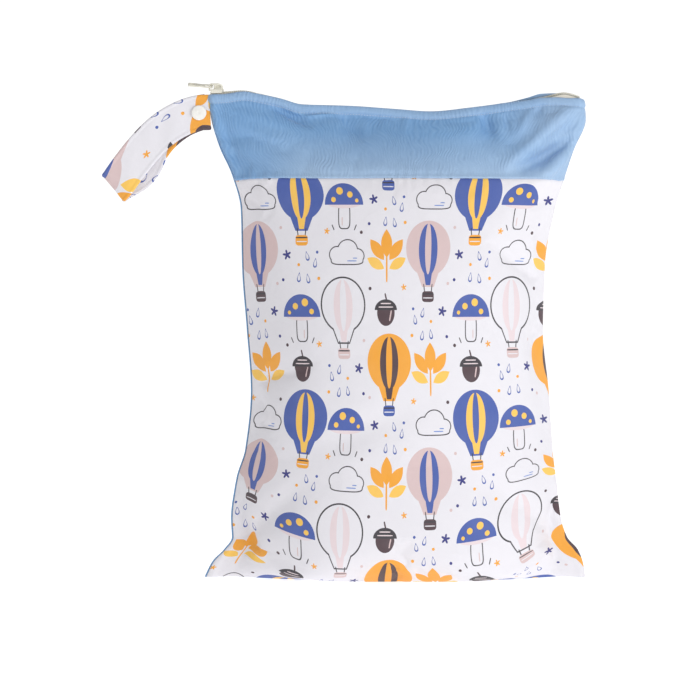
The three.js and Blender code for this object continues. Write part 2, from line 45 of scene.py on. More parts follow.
# Sizes of the bag, as in the frame
TALL = 389 * MM
HALF_WIDE = 150 * MM
DEEP = {"front": 62 * MM, "back": 56 * MM}
BAND_TALL = 69 * MM
SAG = 15 * MM
SEAM_BACK = 8 * MM
COIL_WIDE = 4.2 * MM
COIL_TALL = 2 * MM
GAP = 0.3 * MM
CLOTH = 1.1 * MM
STRAP_WIDE = 27 * MM
STRAP_THICK = 1.8 * MM
STRAP_REACH = 77 * MM
STRAP_ROOT = 13 * MM
LOOP_OPEN = 14 * MM
SIDE = {"front": -1, "back": 1}

# Sections from the bottom seam to the mouth: heights at the side seams and in the middle as shares of
# TALL, half widths as shares of HALF_WIDE, depths as shares of DEEP, how far out the stuffing
# reaches, the level share of it, and the power of the curve down to the seam.
SECTION_COLUMNS = ("side", "left", "right", "middle", "front", "back", "fill", "flat", "round")
SECTIONS = (
    (0.005, 1.013, 1.007, 0.000, 0.00, 0.00, 0.86, 0.45, 2.4),
    (0.036, 0.972, 0.993, 0.000, 0.30, 0.32, 0.86, 0.45, 2.4),
    (0.062, 0.908, 0.965, 0.000, 0.60, 0.62, 0.87, 0.45, 2.4),
    (0.087, 0.868, 0.910, 0.015, 0.82, 0.83, 0.90, 0.34, 2.3),
    (0.128, 0.874, 0.877, 0.056, 0.95, 0.95, 0.94, 0.22, 2.3),
    (0.206, 0.853, 0.860, 0.160, 1.00, 1.00, 0.99, 0.12, 2.2),
    (0.267, 0.815, 0.845, 0.247, 1.00, 1.00, 1.00, 0.06, 2.2),
    (0.391, 0.787, 0.825, 0.386, 0.98, 1.00, 1.00, 0.00, 2.2),
    (0.514, 0.805, 0.800, 0.514, 0.94, 0.96, 1.00, 0.00, 2.2),
    (0.638, 0.826, 0.806, 0.638, 0.86, 0.88, 1.00, 0.00, 2.2),
    (0.761, 0.833, 0.852, 0.761, 0.70, 0.72, 1.00, 0.00, 2.2),
    (0.828, 0.870, 0.900, 0.828, 0.57, 0.58, 1.00, 0.00, 2.2),
    (0.892, 0.935, 0.947, 0.892, 0.36, 0.37, 1.00, 0.00, 2.3),
    (0.959, 0.987, 1.005, 0.959, 0.13, 0.13, 1.00, 0.00, 2.6),
    (1.000, 1.000, 0.995, 1.000, 0.00, 0.00, 1.00, 0.00, 2.6),
)

# The mouth: place across, drop as a share of SAG, rise of the zip over the cloth as a share of COIL_WIDE
MOUTH = (
    (-1.00, 0.08, 0.20), (-0.92, 0.05, 0.10), (-0.81, -0.09, -0.22), (-0.75, 0.01, -0.30),
    (-0.62, 0.28, -0.45), (-0.50, 0.60, -0.50), (-0.25, 0.68, -0.60), (0.00, 0.85, -0.60),
    (0.18, 0.97, -0.60), (0.40, 0.76, -0.55), (0.60, 0.48, -0.80), (0.70, 0.24, -1.15),
    (0.78, 0.02, -1.10), (0.85, 0.00, -0.55), (0.90, 0.03, -0.15), (1.00, 0.33, -0.10),
)

# Folds: place across and up, turn in degrees, length and width as shares of HALF_WIDE, depth as a
# share of the front's bulge, inward where positive.
FOLDS = {
    "front": (
        (0.76, 0.912, 46, 0.26, 0.055, -0.075), (0.80, 0.873, 26, 0.18, 0.050, 0.100),
        (0.87, 0.848, 52, 0.14, 0.050, -0.070), (-0.58, 0.962, -26, 0.16, 0.045, 0.060),
        (-0.37, 0.965, 12, 0.14, 0.045, 0.050), (-0.10, 0.935, -16, 0.20, 0.090, 0.070),
        (0.48, 0.925, 96, 0.12, 0.060, 0.060), (0.05, 0.830, 4, 0.55, 0.060, 0.035),
        (-0.22, 0.300, 24, 0.26, 0.080, 0.055), (0.62, 0.650, -30, 0.22, 0.080, 0.050),
        (-0.66, 0.420, 14, 0.24, 0.070, 0.070), (0.60, 0.160, -36, 0.26, 0.080, 0.070),
        (-0.66, 0.130, 42, 0.26, 0.070, 0.080),
    ),
    "back": (
        (-0.70, 0.890, -44, 0.26, 0.070, 0.080), (0.72, 0.880, 40, 0.28, 0.070, 0.080),
        (0.10, 0.920, 8, 0.34, 0.080, 0.070), (-0.40, 0.470, 28, 0.34, 0.090, 0.060),
        (0.52, 0.400, -24, 0.30, 0.090, 0.060), (0.62, 0.140, -38, 0.26, 0.080, 0.080),
        (-0.62, 0.140, 38, 0.26, 0.080, 0.080),
    ),
}

# The strap's middle line: out and down as shares of STRAP_REACH, apart as a share of LOOP_OPEN, and
# the lean in degrees of the line across the strap.
STRAP_LINE = (
    (0.006, 0.026, -0.06, 101), (0.115, 0.032, -0.08, 104), (0.230, 0.064, -0.12, 109),
    (0.385, 0.140, -0.34, 121), (0.530, 0.247, -0.50, 131), (0.675, 0.394, -0.50, 137),
    (0.825, 0.580, -0.46, 140), (0.955, 0.758, -0.34, 131), (1.000, 0.810, 0.02, 129),
    (0.930, 0.760, 0.40, 131), (0.760, 0.657, 0.52, 140), (0.675, 0.548, 0.54, 153),
    (0.620, 0.420, 0.53, 157), (0.500, 0.262, 0.46, 138), (0.300, 0.107, 0.32, 122),
    (0.115, 0.032, 0.24, 106), (0.030, 0.016, 0.22, 103),
)


def table_curve(places, values):
    """A smooth curve through a table's column that keeps level stretches level."""
    places, values = np.array(places, float), np.array(values, float)
    slopes = np.diff(values) / np.diff(places)
    tangents = np.concatenate((slopes[:1], np.zeros(len(slopes) - 1), slopes[-1:]))
    same_way = slopes[:-1] * slopes[1:] > 0
    total = np.where(same_way, slopes[:-1] + slopes[1:], 1)
    tangents[1:-1] = np.where(same_way, 2 * slopes[:-1] * slopes[1:] / total, 0)

    def curve(place):
        at = np.clip(place, places[0], places[-1])
        i = np.clip(np.searchsorted(places, at, side="right") - 1, 0, len(places) - 2)
        step = places[i + 1] - places[i]
        t = (at - places[i]) / step
        rise = t * t * (3 - 2 * t)
        bend = step * t * (1 - t) * (tangents[i] * (1 - t) - tangents[i + 1] * t)
        return values[i] * (1 - rise) + values[i + 1] * rise + bend

    return curve


def smoothstep(value, low, high):
    t = np.clip((value - low) / (high - low), 0, 1)
    return t * t * (3 - 2 * t)


section_table = {name: np.array(column) for name, column in zip(SECTION_COLUMNS, zip(*SECTIONS))}
middle_rises = np.diff(section_table["middle"]) * TALL
middle_outs = np.diff(section_table["front"]) * DEEP["front"]
middle_steps = np.hypot(middle_rises, middle_outs)
CLOTH_LONG = middle_steps.sum()
section_places = np.concatenate(([0], np.cumsum(middle_steps))) / CLOTH_LONG
section = {name: table_curve(section_places, column) for name, column in section_table.items()}
mouth_across, mouth_drops, zip_rises = zip(*MOUTH)
mouth_drop = table_curve(mouth_across, mouth_drops)
zip_rise = table_curve(mouth_across, zip_rises)

fine = np.linspace(0, 1, 4001)
SEAM_AT = float(np.interp(1 - BAND_TALL / TALL, section["middle"](fine), fine))
BAND_LOW = SEAM_AT * CLOTH_LONG


def seam_place(up):
    return SEAM_BACK * (1 - smoothstep(section["side"](up), 0, 0.5))


def fold_depth(face, x, z):
    depth = np.zeros_like(x)
    for across, up, turn, long, wide, deep in FOLDS[face]:
        c, s = math.cos(math.radians(turn)), math.sin(math.radians(turn))
        dx, dz = x - across * HALF_WIDE, z - up * TALL
        along = (dx * c + dz * s) / (long * HALF_WIDE)
        beside = (dz * c - dx * s) / (wide * HALF_WIDE)
        depth += deep * DEEP["front"] * np.exp(-along ** 2 - beside ** 2)
    return depth


def bag_points(face, across, up):
    """The middle of a panel's cloth, for a row of places up and a column of places across."""
    across, up = np.meshgrid(across, up)
    out = np.abs(across)
    half = np.where(across < 0, -section["left"](up), section["right"](up)) * HALF_WIDE
    past = np.clip((out / section["fill"](up) - section["flat"](up)) / (1 - section["flat"](up)), 0, 1)
    full = 1 - past ** section["round"](up)
    z = (section["side"](up) * (1 - full) + section["middle"](up) * full) * TALL
    z = z - mouth_drop(across) * SAG * smoothstep(up, SEAM_AT, 1)
    fade = np.clip((1 - out) * 8, 0, 1) * np.clip(z / TALL * 16 - 0.6, 0, 1) * np.clip((1 - up) * 40, 0, 1)
    fade = fade * np.clip(full * 4, 0, 1)
    x = half * out
    zip_room = (COIL_WIDE / 2 + CLOTH) * smoothstep(up, *section_places[[-3, -2]])
    zip_room = zip_room * smoothstep(1 - out, 0, 0.03)
    deep = zip_room + section[face](up) * DEEP[face] * full - fold_depth(face, x, z) * fade
    return np.stack((x, seam_place(up) + SIDE[face] * deep, np.maximum(z, 0)), axis=-1)


def resample(grid, rows, columns):
    """A grid's points at fractional rows and columns, on smooth curves through its own points."""
    for axis, places in ((0, rows), (1, columns)):
        last = grid.shape[axis] - 1
        i = np.clip(np.floor(places).astype(int), 0, last - 1)
        t = (places - i).reshape((-1, 1, 1) if axis == 0 else (1, -1, 1))
        a, b, c, d = (np.take(grid, np.clip(i + k, 0, last), axis) for k in (-1, 0, 1, 2))
        grid = b + 0.5 * t * (c - a + t * (2 * a - 5 * b + 4 * c - d + t * (3 * (b - c) + d - a)))
    return grid


def unit(vectors):
    """The same directions with a length of one."""
    return vectors / np.maximum(np.linalg.norm(vectors, axis=-1, keepdims=True), 1e-12)


def normals_of(grid):
    rows, columns = np.gradient(grid, axis=0), np.gradient(grid, axis=1)
    return unit(np.cross(columns, rows))


def run_along(line):
    """How far along a line each of its points lies."""
    return np.concatenate(([0], np.cumsum(np.linalg.norm(np.diff(line, axis=0), axis=1))))


def at_run(places, run, values):
    """Points or directions interpolated at places along a line."""
    return np.stack([np.interp(places, run, column) for column in values.T], axis=1)


def quads(grid):
    corners = (grid[:-1, :-1], grid[:-1, 1:], grid[1:, 1:], grid[1:, :-1])
    return np.stack([corner.ravel() for corner in corners], axis=1)


def linked(name, data):
    """A new object in the scene."""
    made = bpy.data.objects.new(name, data)
    bpy.context.collection.objects.link(made)
    return made


# Cloth simulation of the whole bag. The side seams move less, and the ears and the low side cloth are held.
SIM_ROWS, SIM_COLUMNS = 132, 96
SIM_FRAMES = 24
SIM_MOVE = 10 * MM
SEAM_FREE = 0.35
EAR_OUT, EAR_UP = (116 * MM, 130 * MM), (40 * MM, 70 * MM)
LOW_OUT, LOW_UP = (60 * MM, 90 * MM), (6 * MM, 20 * MM)
HELD_SHARE = 0.85


def stuffed_form():
    """Front and back grids of the stuffed bag, puckered as flat cloth is when it is filled."""
    across, up = np.linspace(-1, 1, SIM_COLUMNS + 1), np.linspace(0, 1, SIM_ROWS + 1)
    form = {face: bag_points(face, across, up) for face in SIDE}
    shape = form["front"].shape[:2]
    count = shape[0] * shape[1]
    index = {"front": np.arange(count).reshape(shape)}
    index["back"] = index["front"].copy()
    inside = (shape[0] - 1, shape[1] - 2)
    index["back"][1:, 1:-1] = count + np.arange(inside[0] * inside[1]).reshape(inside)
    points = np.concatenate((form["front"].reshape(-1, 3), form["back"][1:, 1:-1].reshape(-1, 3)))
    flat_x, flat_z = np.meshgrid(across * HALF_WIDE, up * CLOTH_LONG)
    flat = np.stack((flat_x, np.zeros_like(flat_x), flat_z), axis=-1)
    pattern = np.concatenate((flat.reshape(-1, 3), flat[1:, 1:-1].reshape(-1, 3) + (0, 2 * MM, 0)))

    faces = np.concatenate((quads(index["front"]), quads(index["back"])[:, ::-1]))
    mesh = bpy.data.meshes.new("sim_cloth")
    mesh.from_pydata(points.tolist(), [], faces.tolist())
    piece = linked("sim_cloth", mesh)
    piece.shape_key_add(name="Basis")
    flat_key = piece.shape_key_add(name="pattern")
    flat_key.data.foreach_set("co", pattern.ravel())
    held = piece.vertex_groups.new(name="held")
    mouth_rows = index["front"][-4:].ravel().tolist() + index["back"][-4:].ravel().tolist()
    held.add(sorted(set(mouth_rows)), 1.0, "REPLACE")
    cloth = piece.modifiers.new("cloth", "CLOTH")
    settings = cloth.settings
    settings.quality = 6
    settings.mass = 0.15
    settings.tension_stiffness = settings.compression_stiffness = 18
    settings.shear_stiffness = 8
    settings.bending_stiffness = 0.5
    settings.air_damping = 4
    settings.use_pressure = True
    settings.uniform_pressure_force = 2.6
    settings.vertex_group_mass = "held"
    settings.rest_shape_key = flat_key
    settings.effector_weights.gravity = 0
    cloth.collision_settings.use_self_collision = False
    cloth.collision_settings.use_collision = False
    cloth.point_cache.frame_start = 1
    cloth.point_cache.frame_end = SIM_FRAMES
    scene = bpy.context.scene
    for number in range(1, SIM_FRAMES + 1):
        scene.frame_set(number)
    depsgraph = bpy.context.evaluated_depsgraph_get()
    done = piece.evaluated_get(depsgraph).to_mesh()
    moved = np.empty(len(points) * 3)
    done.vertices.foreach_get("co", moved)
    move = moved.reshape(-1, 3) - points
    places = np.tile(across, (SIM_ROWS + 1, 1))
    from_seam = np.concatenate((1 - np.abs(places).ravel(), 1 - np.abs(places[1:, 1:-1]).ravel()))
    seam_free = SEAM_FREE + (1 - SEAM_FREE) * smoothstep(from_seam, 0, 0.12)
    move[:, [0, 2]] *= seam_free[:, None]
    out, height = np.abs(points[:, 0]), points[:, 2]
    in_ear = smoothstep(out, *EAR_OUT) * (1 - smoothstep(height, *EAR_UP))
    near_floor = smoothstep(out, *LOW_OUT) * (1 - smoothstep(height, *LOW_UP))
    move *= (1 - HELD_SHARE * np.maximum(in_ear, near_floor))[:, None]
    size = np.linalg.norm(move, axis=1, keepdims=True)
    settled = points + move * np.tanh(size / SIM_MOVE) * SIM_MOVE / np.maximum(size, 1e-9)
    settled[:, 2] = np.maximum(settled[:, 2], 0)
    bpy.data.objects.remove(piece)
    scene.frame_set(1)
    return {face: settled[index[face]] for face in SIDE}


# Meshes
def place_piece(name, mesh, material_used, body="bag"):
    mesh.materials.append(material_used)
    piece = linked(name, mesh)
    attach(piece, body)
    return piece


def new_piece(name, vertices, faces, material_used, slot, uv=None):
    mesh = bpy.data.meshes.new(name)
    mesh.from_pydata([tuple(v) for v in vertices], [], faces)
    for map_name, coordinates in (uv or {}).items():
        layer = mesh.uv_layers.new(name=map_name)
        loops = np.empty(len(mesh.loops), dtype=np.int64)
        mesh.loops.foreach_get("vertex_index", loops)
        layer.data.foreach_set("uv", coordinates[loops].ravel())
    mesh.shade_smooth()
    return place_piece(name, mesh, material_used)


RIM_STEPS = 2


def shell(name, outer, inner, material_used, flat, slot, both=False):
    """A closed sheet of cloth between two grids, with round rims. flat is the grid's place on the flat
    cloth in metres. The baking map gives the inner side a small corner, or half where both sides show."""
    rows, columns = outer.shape[:2]
    border = [(0, j) for j in range(columns)] + [(i, columns - 1) for i in range(1, rows)]
    border += [(rows - 1, j) for j in range(columns - 2, -1, -1)]
    border += [(i, 0) for i in range(rows - 2, 0, -1)]
    border = tuple(np.array(side) for side in zip(*border))
    beside = (np.clip(border[0], 1, rows - 2), np.clip(border[1], 1, columns - 2))
    edge_out, edge_in = outer[border], inner[border]
    inward = unit(outer[beside] - edge_out)
    half = np.linalg.norm(edge_out - edge_in, axis=1, keepdims=True) / 2
    count = rows * columns
    ids = np.arange(count).reshape(rows, columns)
    points = [outer.reshape(-1, 3), inner.reshape(-1, 3)]
    places = [flat.reshape(-1, 2), flat.reshape(-1, 2)]
    faces = quads(ids).tolist() + (quads(ids)[:, ::-1] + count).tolist()
    rings = [ids[border]]
    for k in range(1, RIM_STEPS + 1):
        angle = math.pi * k / (RIM_STEPS + 1)
        turn = math.cos(angle)
        points.append((edge_out * (1 + turn) + edge_in * (1 - turn)) / 2 - inward * half * math.sin(angle))
        places.append(flat[border])
        rings.append(2 * count + (k - 1) * len(edge_out) + np.arange(len(edge_out)))
    rings.append(ids[border] + count)
    for first, second in zip(rings[:-1], rings[1:]):
        faces += np.stack((first, second, np.roll(second, -1), np.roll(first, -1)), axis=1).tolist()
    places = np.concatenate(places)
    low, size = places.min(axis=0), np.ptp(places, axis=0)
    if both:
        scale = inner_scale = min(0.48 / size[0], 0.97 / size[1])
        inner_low = (0.505, 0.01)
    else:
        scale, inner_scale = 0.86 / size.max(), 0.11 / size.max()
        inner_low = 0.885
    bake = (places - low) * scale + 0.01
    bake[count:] = (places[count:] - low) * inner_scale + inner_low
    uv = {"cloth": places, "OFBake": bake}
    return new_piece(name, np.concatenate(points), faces, material_used, slot, uv)


# Materials
class Nodes:
    """A short hand for building node trees."""

    def __init__(self, tree):
        self.tree = tree

    def add(self, kind, *inputs, out=0, **settings):
        node = self.tree.nodes.new(kind)
        for name, value in settings.items():
            setattr(node, name, value)
        for place, value in enumerate(inputs):
            self.feed(node.inputs[place], value)
        return node.outputs[out]

    def feed(self, socket, value):
        if isinstance(value, bpy.types.NodeSocket):
            self.tree.links.new(value, socket)
        else:
            socket.default_value = value

    def math(self, operation, *inputs, clamp=False):
        return self.add("ShaderNodeMath", *inputs, operation=operation, use_clamp=clamp)

    def times(self, first, second):
        return self.math("MULTIPLY", first, second)

    def vector(self, operation, *inputs):
        out = 1 if operation in ("LENGTH", "DOT_PRODUCT", "DISTANCE") else 0
        return self.add("ShaderNodeVectorMath", *inputs, operation=operation, out=out)

    def mix(self, factor, first, second):
        node = self.tree.nodes.new("ShaderNodeMix")
        node.data_type = "RGBA"
        for name, value in ((0, factor), (6, first), (7, second)):
            self.feed(node.inputs[name], value)
        return node.outputs[2]

    def map_range(self, value, low, high, to_low, to_high):
        return self.add("ShaderNodeMapRange", value, low, high, to_low, to_high)

    def parts(self, vector):
        """The x, y and z of a vector."""
        node = self.tree.nodes.new("ShaderNodeSeparateXYZ")
        self.feed(node.inputs[0], vector)
        return node.outputs


def srgb(red, green, blue):
    return tuple((c / 255 / 12.92 if c / 255 <= 0.04045 else ((c / 255 + 0.055) / 1.055) ** 2.4)
                 for c in (red, green, blue)) + (1.0,)


INK = {
    "ground": srgb(228, 226, 232), "mustard": srgb(240, 165, 56), "amber": srgb(247, 198, 92),
    "blue": srgb(74, 96, 168), "sky": srgb(120, 146, 205), "pink": srgb(214, 190, 190),
    "rose": srgb(228, 212, 216), "brown": srgb(82, 64, 70), "line": srgb(62, 58, 64),
    "navy": srgb(58, 60, 128),
}

# Inks that change from cell to cell: even and odd column of an even row, then of an odd row
CHANGING_INK = {
    "main": ("mustard", "blue", "pink", "ground"), "rim": ("mustard", "blue", "pink", "line"),
    "stripe": ("brown", "amber", "blue", "rose"), "basket": ("blue", "mustard", "brown", "pink"),
}

# The print's cell in millimetres; every other column lies half a cell lower.
CELL_X, CELL_Y = 82.0, 90.0

# Shapes of the print, painted in this order: form, place across and up in the cell, width, height,
# turn in degrees, ink
BALLOON = (
    ("taper", -19, -2.5, 28.5, 20.5, 0, "rim"), ("ellipse", -19, 18, 42.6, 45, 0, "rim"),
    ("taper", -19, -2, 26, 19, 0, "main"), ("ellipse", -19, 18, 40, 42.4, 0, "main"),
    ("ellipse", -19, 17, 18, 42, 0, "stripe"), ("taper", -19, -2, 11, 18.6, 0, "stripe"),
    ("ellipse", -19, 18, 6, 41.5, 0, "main"),
    ("line", -22.6, -14.2, 0.9, 8, 8, "line"), ("line", -15.4, -14.2, 0.9, 8, -8, "line"),
    ("box", -19, -20.4, 11.5, 8.6, 0, "basket"), ("line", -19, -18.2, 11, 1.1, 0, "line"),
    ("line", -19, -21.4, 9.6, 0.8, 0, "ground"),
)
PUFFS = (("ellipse", 14, -32, 15, 14), ("ellipse", 24, -29, 20, 19), ("ellipse", 33, -33, 14, 12.5),
         ("box", 23.5, -35.6, 31, 9.6))
CLOUD = [(form, x, y, wide - edge, tall - edge, 0, ink) for edge, ink in ((0, "line"), (1.8, "ground"))
         for form, x, y, wide, tall in PUFFS]
CLOUD += [("line", 28, -37, 9, 0.9, 0, "sky"), ("line", 31, -34.8, 4, 0.9, 0, "sky")]
ACORN = (
    ("line", 22, -20.6, 1.4, 6, -14, "brown"), ("ellipse", 22, -33, 17, 21, 0, "brown"),
    ("dome", 22, -31, 21.5, 17, 0, "line"), ("line", 17.6, -35.4, 1.2, 8.5, 12, "pink"),
    ("line", 22, -28.6, 14, 0.9, 0, "rose"), ("line", 22, -25.8, 10, 0.9, 0, "rose"),
)
SPRIG = (
    ("line", 21, 2, 1.6, 22, 0, "mustard"),
    ("leaf", 21, 22, 10.5, 23, 0, "mustard"), ("leaf", 12, 17, 9.5, 21, 38, "mustard"),
    ("leaf", 30, 17, 9.5, 21, -38, "mustard"), ("leaf", 10.6, 6, 8.5, 18, 62, "amber"),
    ("leaf", 31.4, 6, 8.5, 18, -62, "amber"),
)
MUSHROOM = (
    ("box", 21, -1, 11.5, 21, 0, "line"), ("box", 21, -1, 9.7, 19.2, 0, "ground"),
    ("line", 19, -5, 0.9, 7, 0, "pink"), ("ellipse", 21, 9.6, 32, 8, 0, "rose"),
    ("dome", 21, 8.5, 36, 36, 0, "blue"), ("ellipse", 11.2, 12.8, 4.4, 4.4, 0, "amber"),
    ("ellipse", 17.4, 20, 6.2, 6.2, 0, "amber"), ("ellipse", 26.8, 17, 5.2, 5.2, 0, "amber"),
    ("ellipse", 33, 12, 3.2, 3.2, 0, "amber"), ("line", 10.4, -10, 0.9, 5, 24, "line"),
    ("line", 31.4, -10, 0.9, 5, -24, "line"),
)
SMALL = (
    ("star", -33, -32, 8.5, 8.5, 12, "navy"), ("star", 4.6, -13, 5.6, 5.6, -8, "mustard"),
    ("ellipse", 37.5, 38, 2.6, 2.6, 0, "navy"), ("ellipse", 3.4, 39, 2.8, 2.8, 0, "mustard"),
    ("ellipse", -22, -40, 2.6, 2.6, 0, "mustard"), ("ellipse", -4.6, -30, 2.4, 2.4, 0, "blue"),
    ("ellipse", 37, -14, 2.8, 2.8, 0, "brown"), ("ellipse", -38.4, -10, 2.6, 2.6, 0, "pink"),
)
DROPS = (
    ("drop", -14, -33, 5.2, 8, 14, "blue"), ("drop", -6.5, -38.5, 5.2, 8, -8, "blue"),
    ("drop", 13.5, 39, 5.2, 8, -10, "blue"), ("drop", 22, 40, 5.2, 8, 8, "blue"),
)


def shape_mask(n, place, form, x, y, wide, tall, turn):
    """1 inside a shape of the print, 0 outside."""
    mapping = n.tree.nodes.new("ShaderNodeMapping")
    mapping.vector_type = "TEXTURE"
    mapping.inputs["Location"].default_value = (x, y, 0)
    mapping.inputs["Rotation"].default_value = (0, 0, math.radians(turn))
    mapping.inputs["Scale"].default_value = (wide / 2, tall / 2, 1)
    n.feed(mapping.inputs["Vector"], place)
    unit = mapping.outputs[0]
    if form == "ellipse":
        return n.math("LESS_THAN", n.vector("LENGTH", unit), 1.0)
    if form in ("box", "line"):
        square = n.vector("MULTIPLY", unit, unit)
        return n.math("LESS_THAN", n.vector("DOT_PRODUCT", square, square), 1.0)
    px, py, _ = n.parts(unit)
    if form == "dome":
        inside = n.math("LESS_THAN", n.vector("LENGTH", unit), 1.0)
        return n.times(inside, n.math("GREATER_THAN", py, 0.0))
    if form == "leaf":
        return n.math("LESS_THAN", n.math("MULTIPLY_ADD", py, py, n.math("ABSOLUTE", px)), 1.0)
    if form == "taper":
        edge = n.math("MULTIPLY_ADD", py, 0.3, 0.7)
        inside = n.math("LESS_THAN", n.math("ABSOLUTE", px), edge)
        return n.times(inside, n.math("LESS_THAN", n.math("ABSOLUTE", py), 1.0))
    if form == "star":
        angle = n.times(n.math("ARCTAN2", px, py), 5.0)
        edge = n.math("MULTIPLY_ADD", n.math("COSINE", angle), 0.3, 0.68)
        return n.math("LESS_THAN", n.vector("LENGTH", unit), edge)
    # A drop is drawn as its outline
    narrow = n.math("MULTIPLY_ADD", py, -0.42, 0.58)
    pinched = n.math("DIVIDE", n.math("ABSOLUTE", px), n.math("MAXIMUM", narrow, 0.05))
    reach = n.math("SQRT", n.math("MULTIPLY_ADD", pinched, pinched, n.times(py, py)))
    return n.math("COMPARE", reach, 0.84, 0.16)


def print_group():
    """The nursery print as a node group: from a place on the flat cloth in metres to a colour."""
    tree = bpy.data.node_groups.new("nursery_print", "ShaderNodeTree")
    tree.interface.new_socket("Place", in_out="INPUT", socket_type="NodeSocketVector")
    tree.interface.new_socket("Color", in_out="OUTPUT", socket_type="NodeSocketColor")
    n = Nodes(tree)
    place = tree.nodes.new("NodeGroupInput").outputs[0]
    x, y, _ = n.parts(n.vector("MULTIPLY", place, (1 / MM, 1 / MM, 1 / MM)))
    across = n.math("DIVIDE", x, CELL_X)
    column = n.math("FLOOR", across)
    odd_column = n.math("FLOORED_MODULO", column, 2.0)
    up = n.math("MULTIPLY_ADD", odd_column, 0.5, n.math("DIVIDE", y, CELL_Y))
    row = n.math("FLOOR", up)
    odd_row = n.math("FLOORED_MODULO", row, 2.0)
    mirror = n.math("MULTIPLY_ADD", odd_row, -2.0, 1.0)
    from_middle_x = n.math("SUBTRACT", n.math("SUBTRACT", across, column), 0.5)
    from_middle_y = n.math("SUBTRACT", n.math("SUBTRACT", up, row), 0.5)
    local_x = n.times(n.times(from_middle_x, CELL_X), mirror)
    cell = n.add("ShaderNodeCombineXYZ", local_x, n.times(from_middle_y, CELL_Y), 0.0)

    inks = dict(INK)
    for name, (first, second, third, fourth) in CHANGING_INK.items():
        even_row = n.mix(odd_column, INK[first], INK[second])
        inks[name] = n.mix(odd_row, even_row, n.mix(odd_column, INK[third], INK[fourth]))
    colour = INK["ground"]
    even_rows = n.math("SUBTRACT", 1.0, odd_row)
    even_columns = n.math("SUBTRACT", 1.0, odd_column)
    for shapes, where in ((BALLOON, None), (CLOUD, even_rows), (ACORN, odd_row), (SPRIG, even_columns),
                          (MUSHROOM, odd_column), (SMALL, None), (DROPS, None)):
        for form, x, y, wide, tall, turn, ink in shapes:
            mask = shape_mask(n, cell, form, x, y, wide, tall, turn)
            if where is not None:
                mask = n.times(mask, where)
            colour = n.mix(mask, colour, inks[ink])
    n.feed(tree.nodes.new("NodeGroupOutput").inputs[0], colour)
    return tree


def material(name, roughness, **constants):
    made = bpy.data.materials.new(name)
    made.use_nodes = True
    shader = made.node_tree.nodes["Principled BSDF"]
    shader.inputs["Roughness"].default_value = roughness
    for key, value in constants.items():
        shader.inputs[key.replace("_", " ")].default_value = value
    return made, Nodes(made.node_tree), shader


def noise(n, vector, scale, detail=2.0, roughness=0.5):
    node = n.tree.nodes.new("ShaderNodeTexNoise")
    for key, value in (("Scale", scale), ("Detail", detail), ("Roughness", roughness)):
        node.inputs[key].default_value = value
    n.feed(node.inputs["Vector"], vector)
    return node.outputs[0]


def bump(n, shader, height, distance, strength=1.0):
    node = n.tree.nodes.new("ShaderNodeBump")
    node.inputs["Strength"].default_value = strength
    node.inputs["Distance"].default_value = distance
    n.feed(node.inputs["Height"], height)
    n.feed(shader.inputs["Normal"], node.outputs[0])


def cloth_place(n):
    return n.add("ShaderNodeUVMap", uv_map="cloth")


def knit_height(n, place, pitch):
    """Fine knit: small interlocked columns."""
    x, y, _ = n.parts(n.vector("MULTIPLY", place, (2 * math.pi / pitch, 2 * math.pi / pitch * 0.8, 0.0)))
    leaning = n.math("MULTIPLY_ADD", n.math("SINE", y), 0.9, x)
    return n.times(n.math("SINE", leaning), n.math("COSINE", y))


PRINT_SHIFT = (30 * MM, 21 * MM, 0.0)


def printed_cloth(group):
    made, n, shader = material("printed_cloth", 0.72, Sheen_Weight=0.12, Sheen_Roughness=0.5)
    place = cloth_place(n)
    use = n.tree.nodes.new("ShaderNodeGroup")
    use.node_tree = group
    n.feed(use.inputs[0], n.vector("ADD", place, PRINT_SHIFT))
    worn = n.map_range(noise(n, place, 45, 3), 0.35, 0.7, 0.0, 0.035)
    n.feed(shader.inputs["Base Color"], n.mix(worn, use.outputs[0], srgb(214, 214, 222)))
    wrinkle = n.times(noise(n, place, 60, 3, 0.6), 3.0)
    bump(n, shader, n.math("MULTIPLY_ADD", knit_height(n, place, 0.9 * MM), 0.12, wrinkle), 0.35 * MM, 0.6)
    return made


RIB_PITCH = 3 * MM


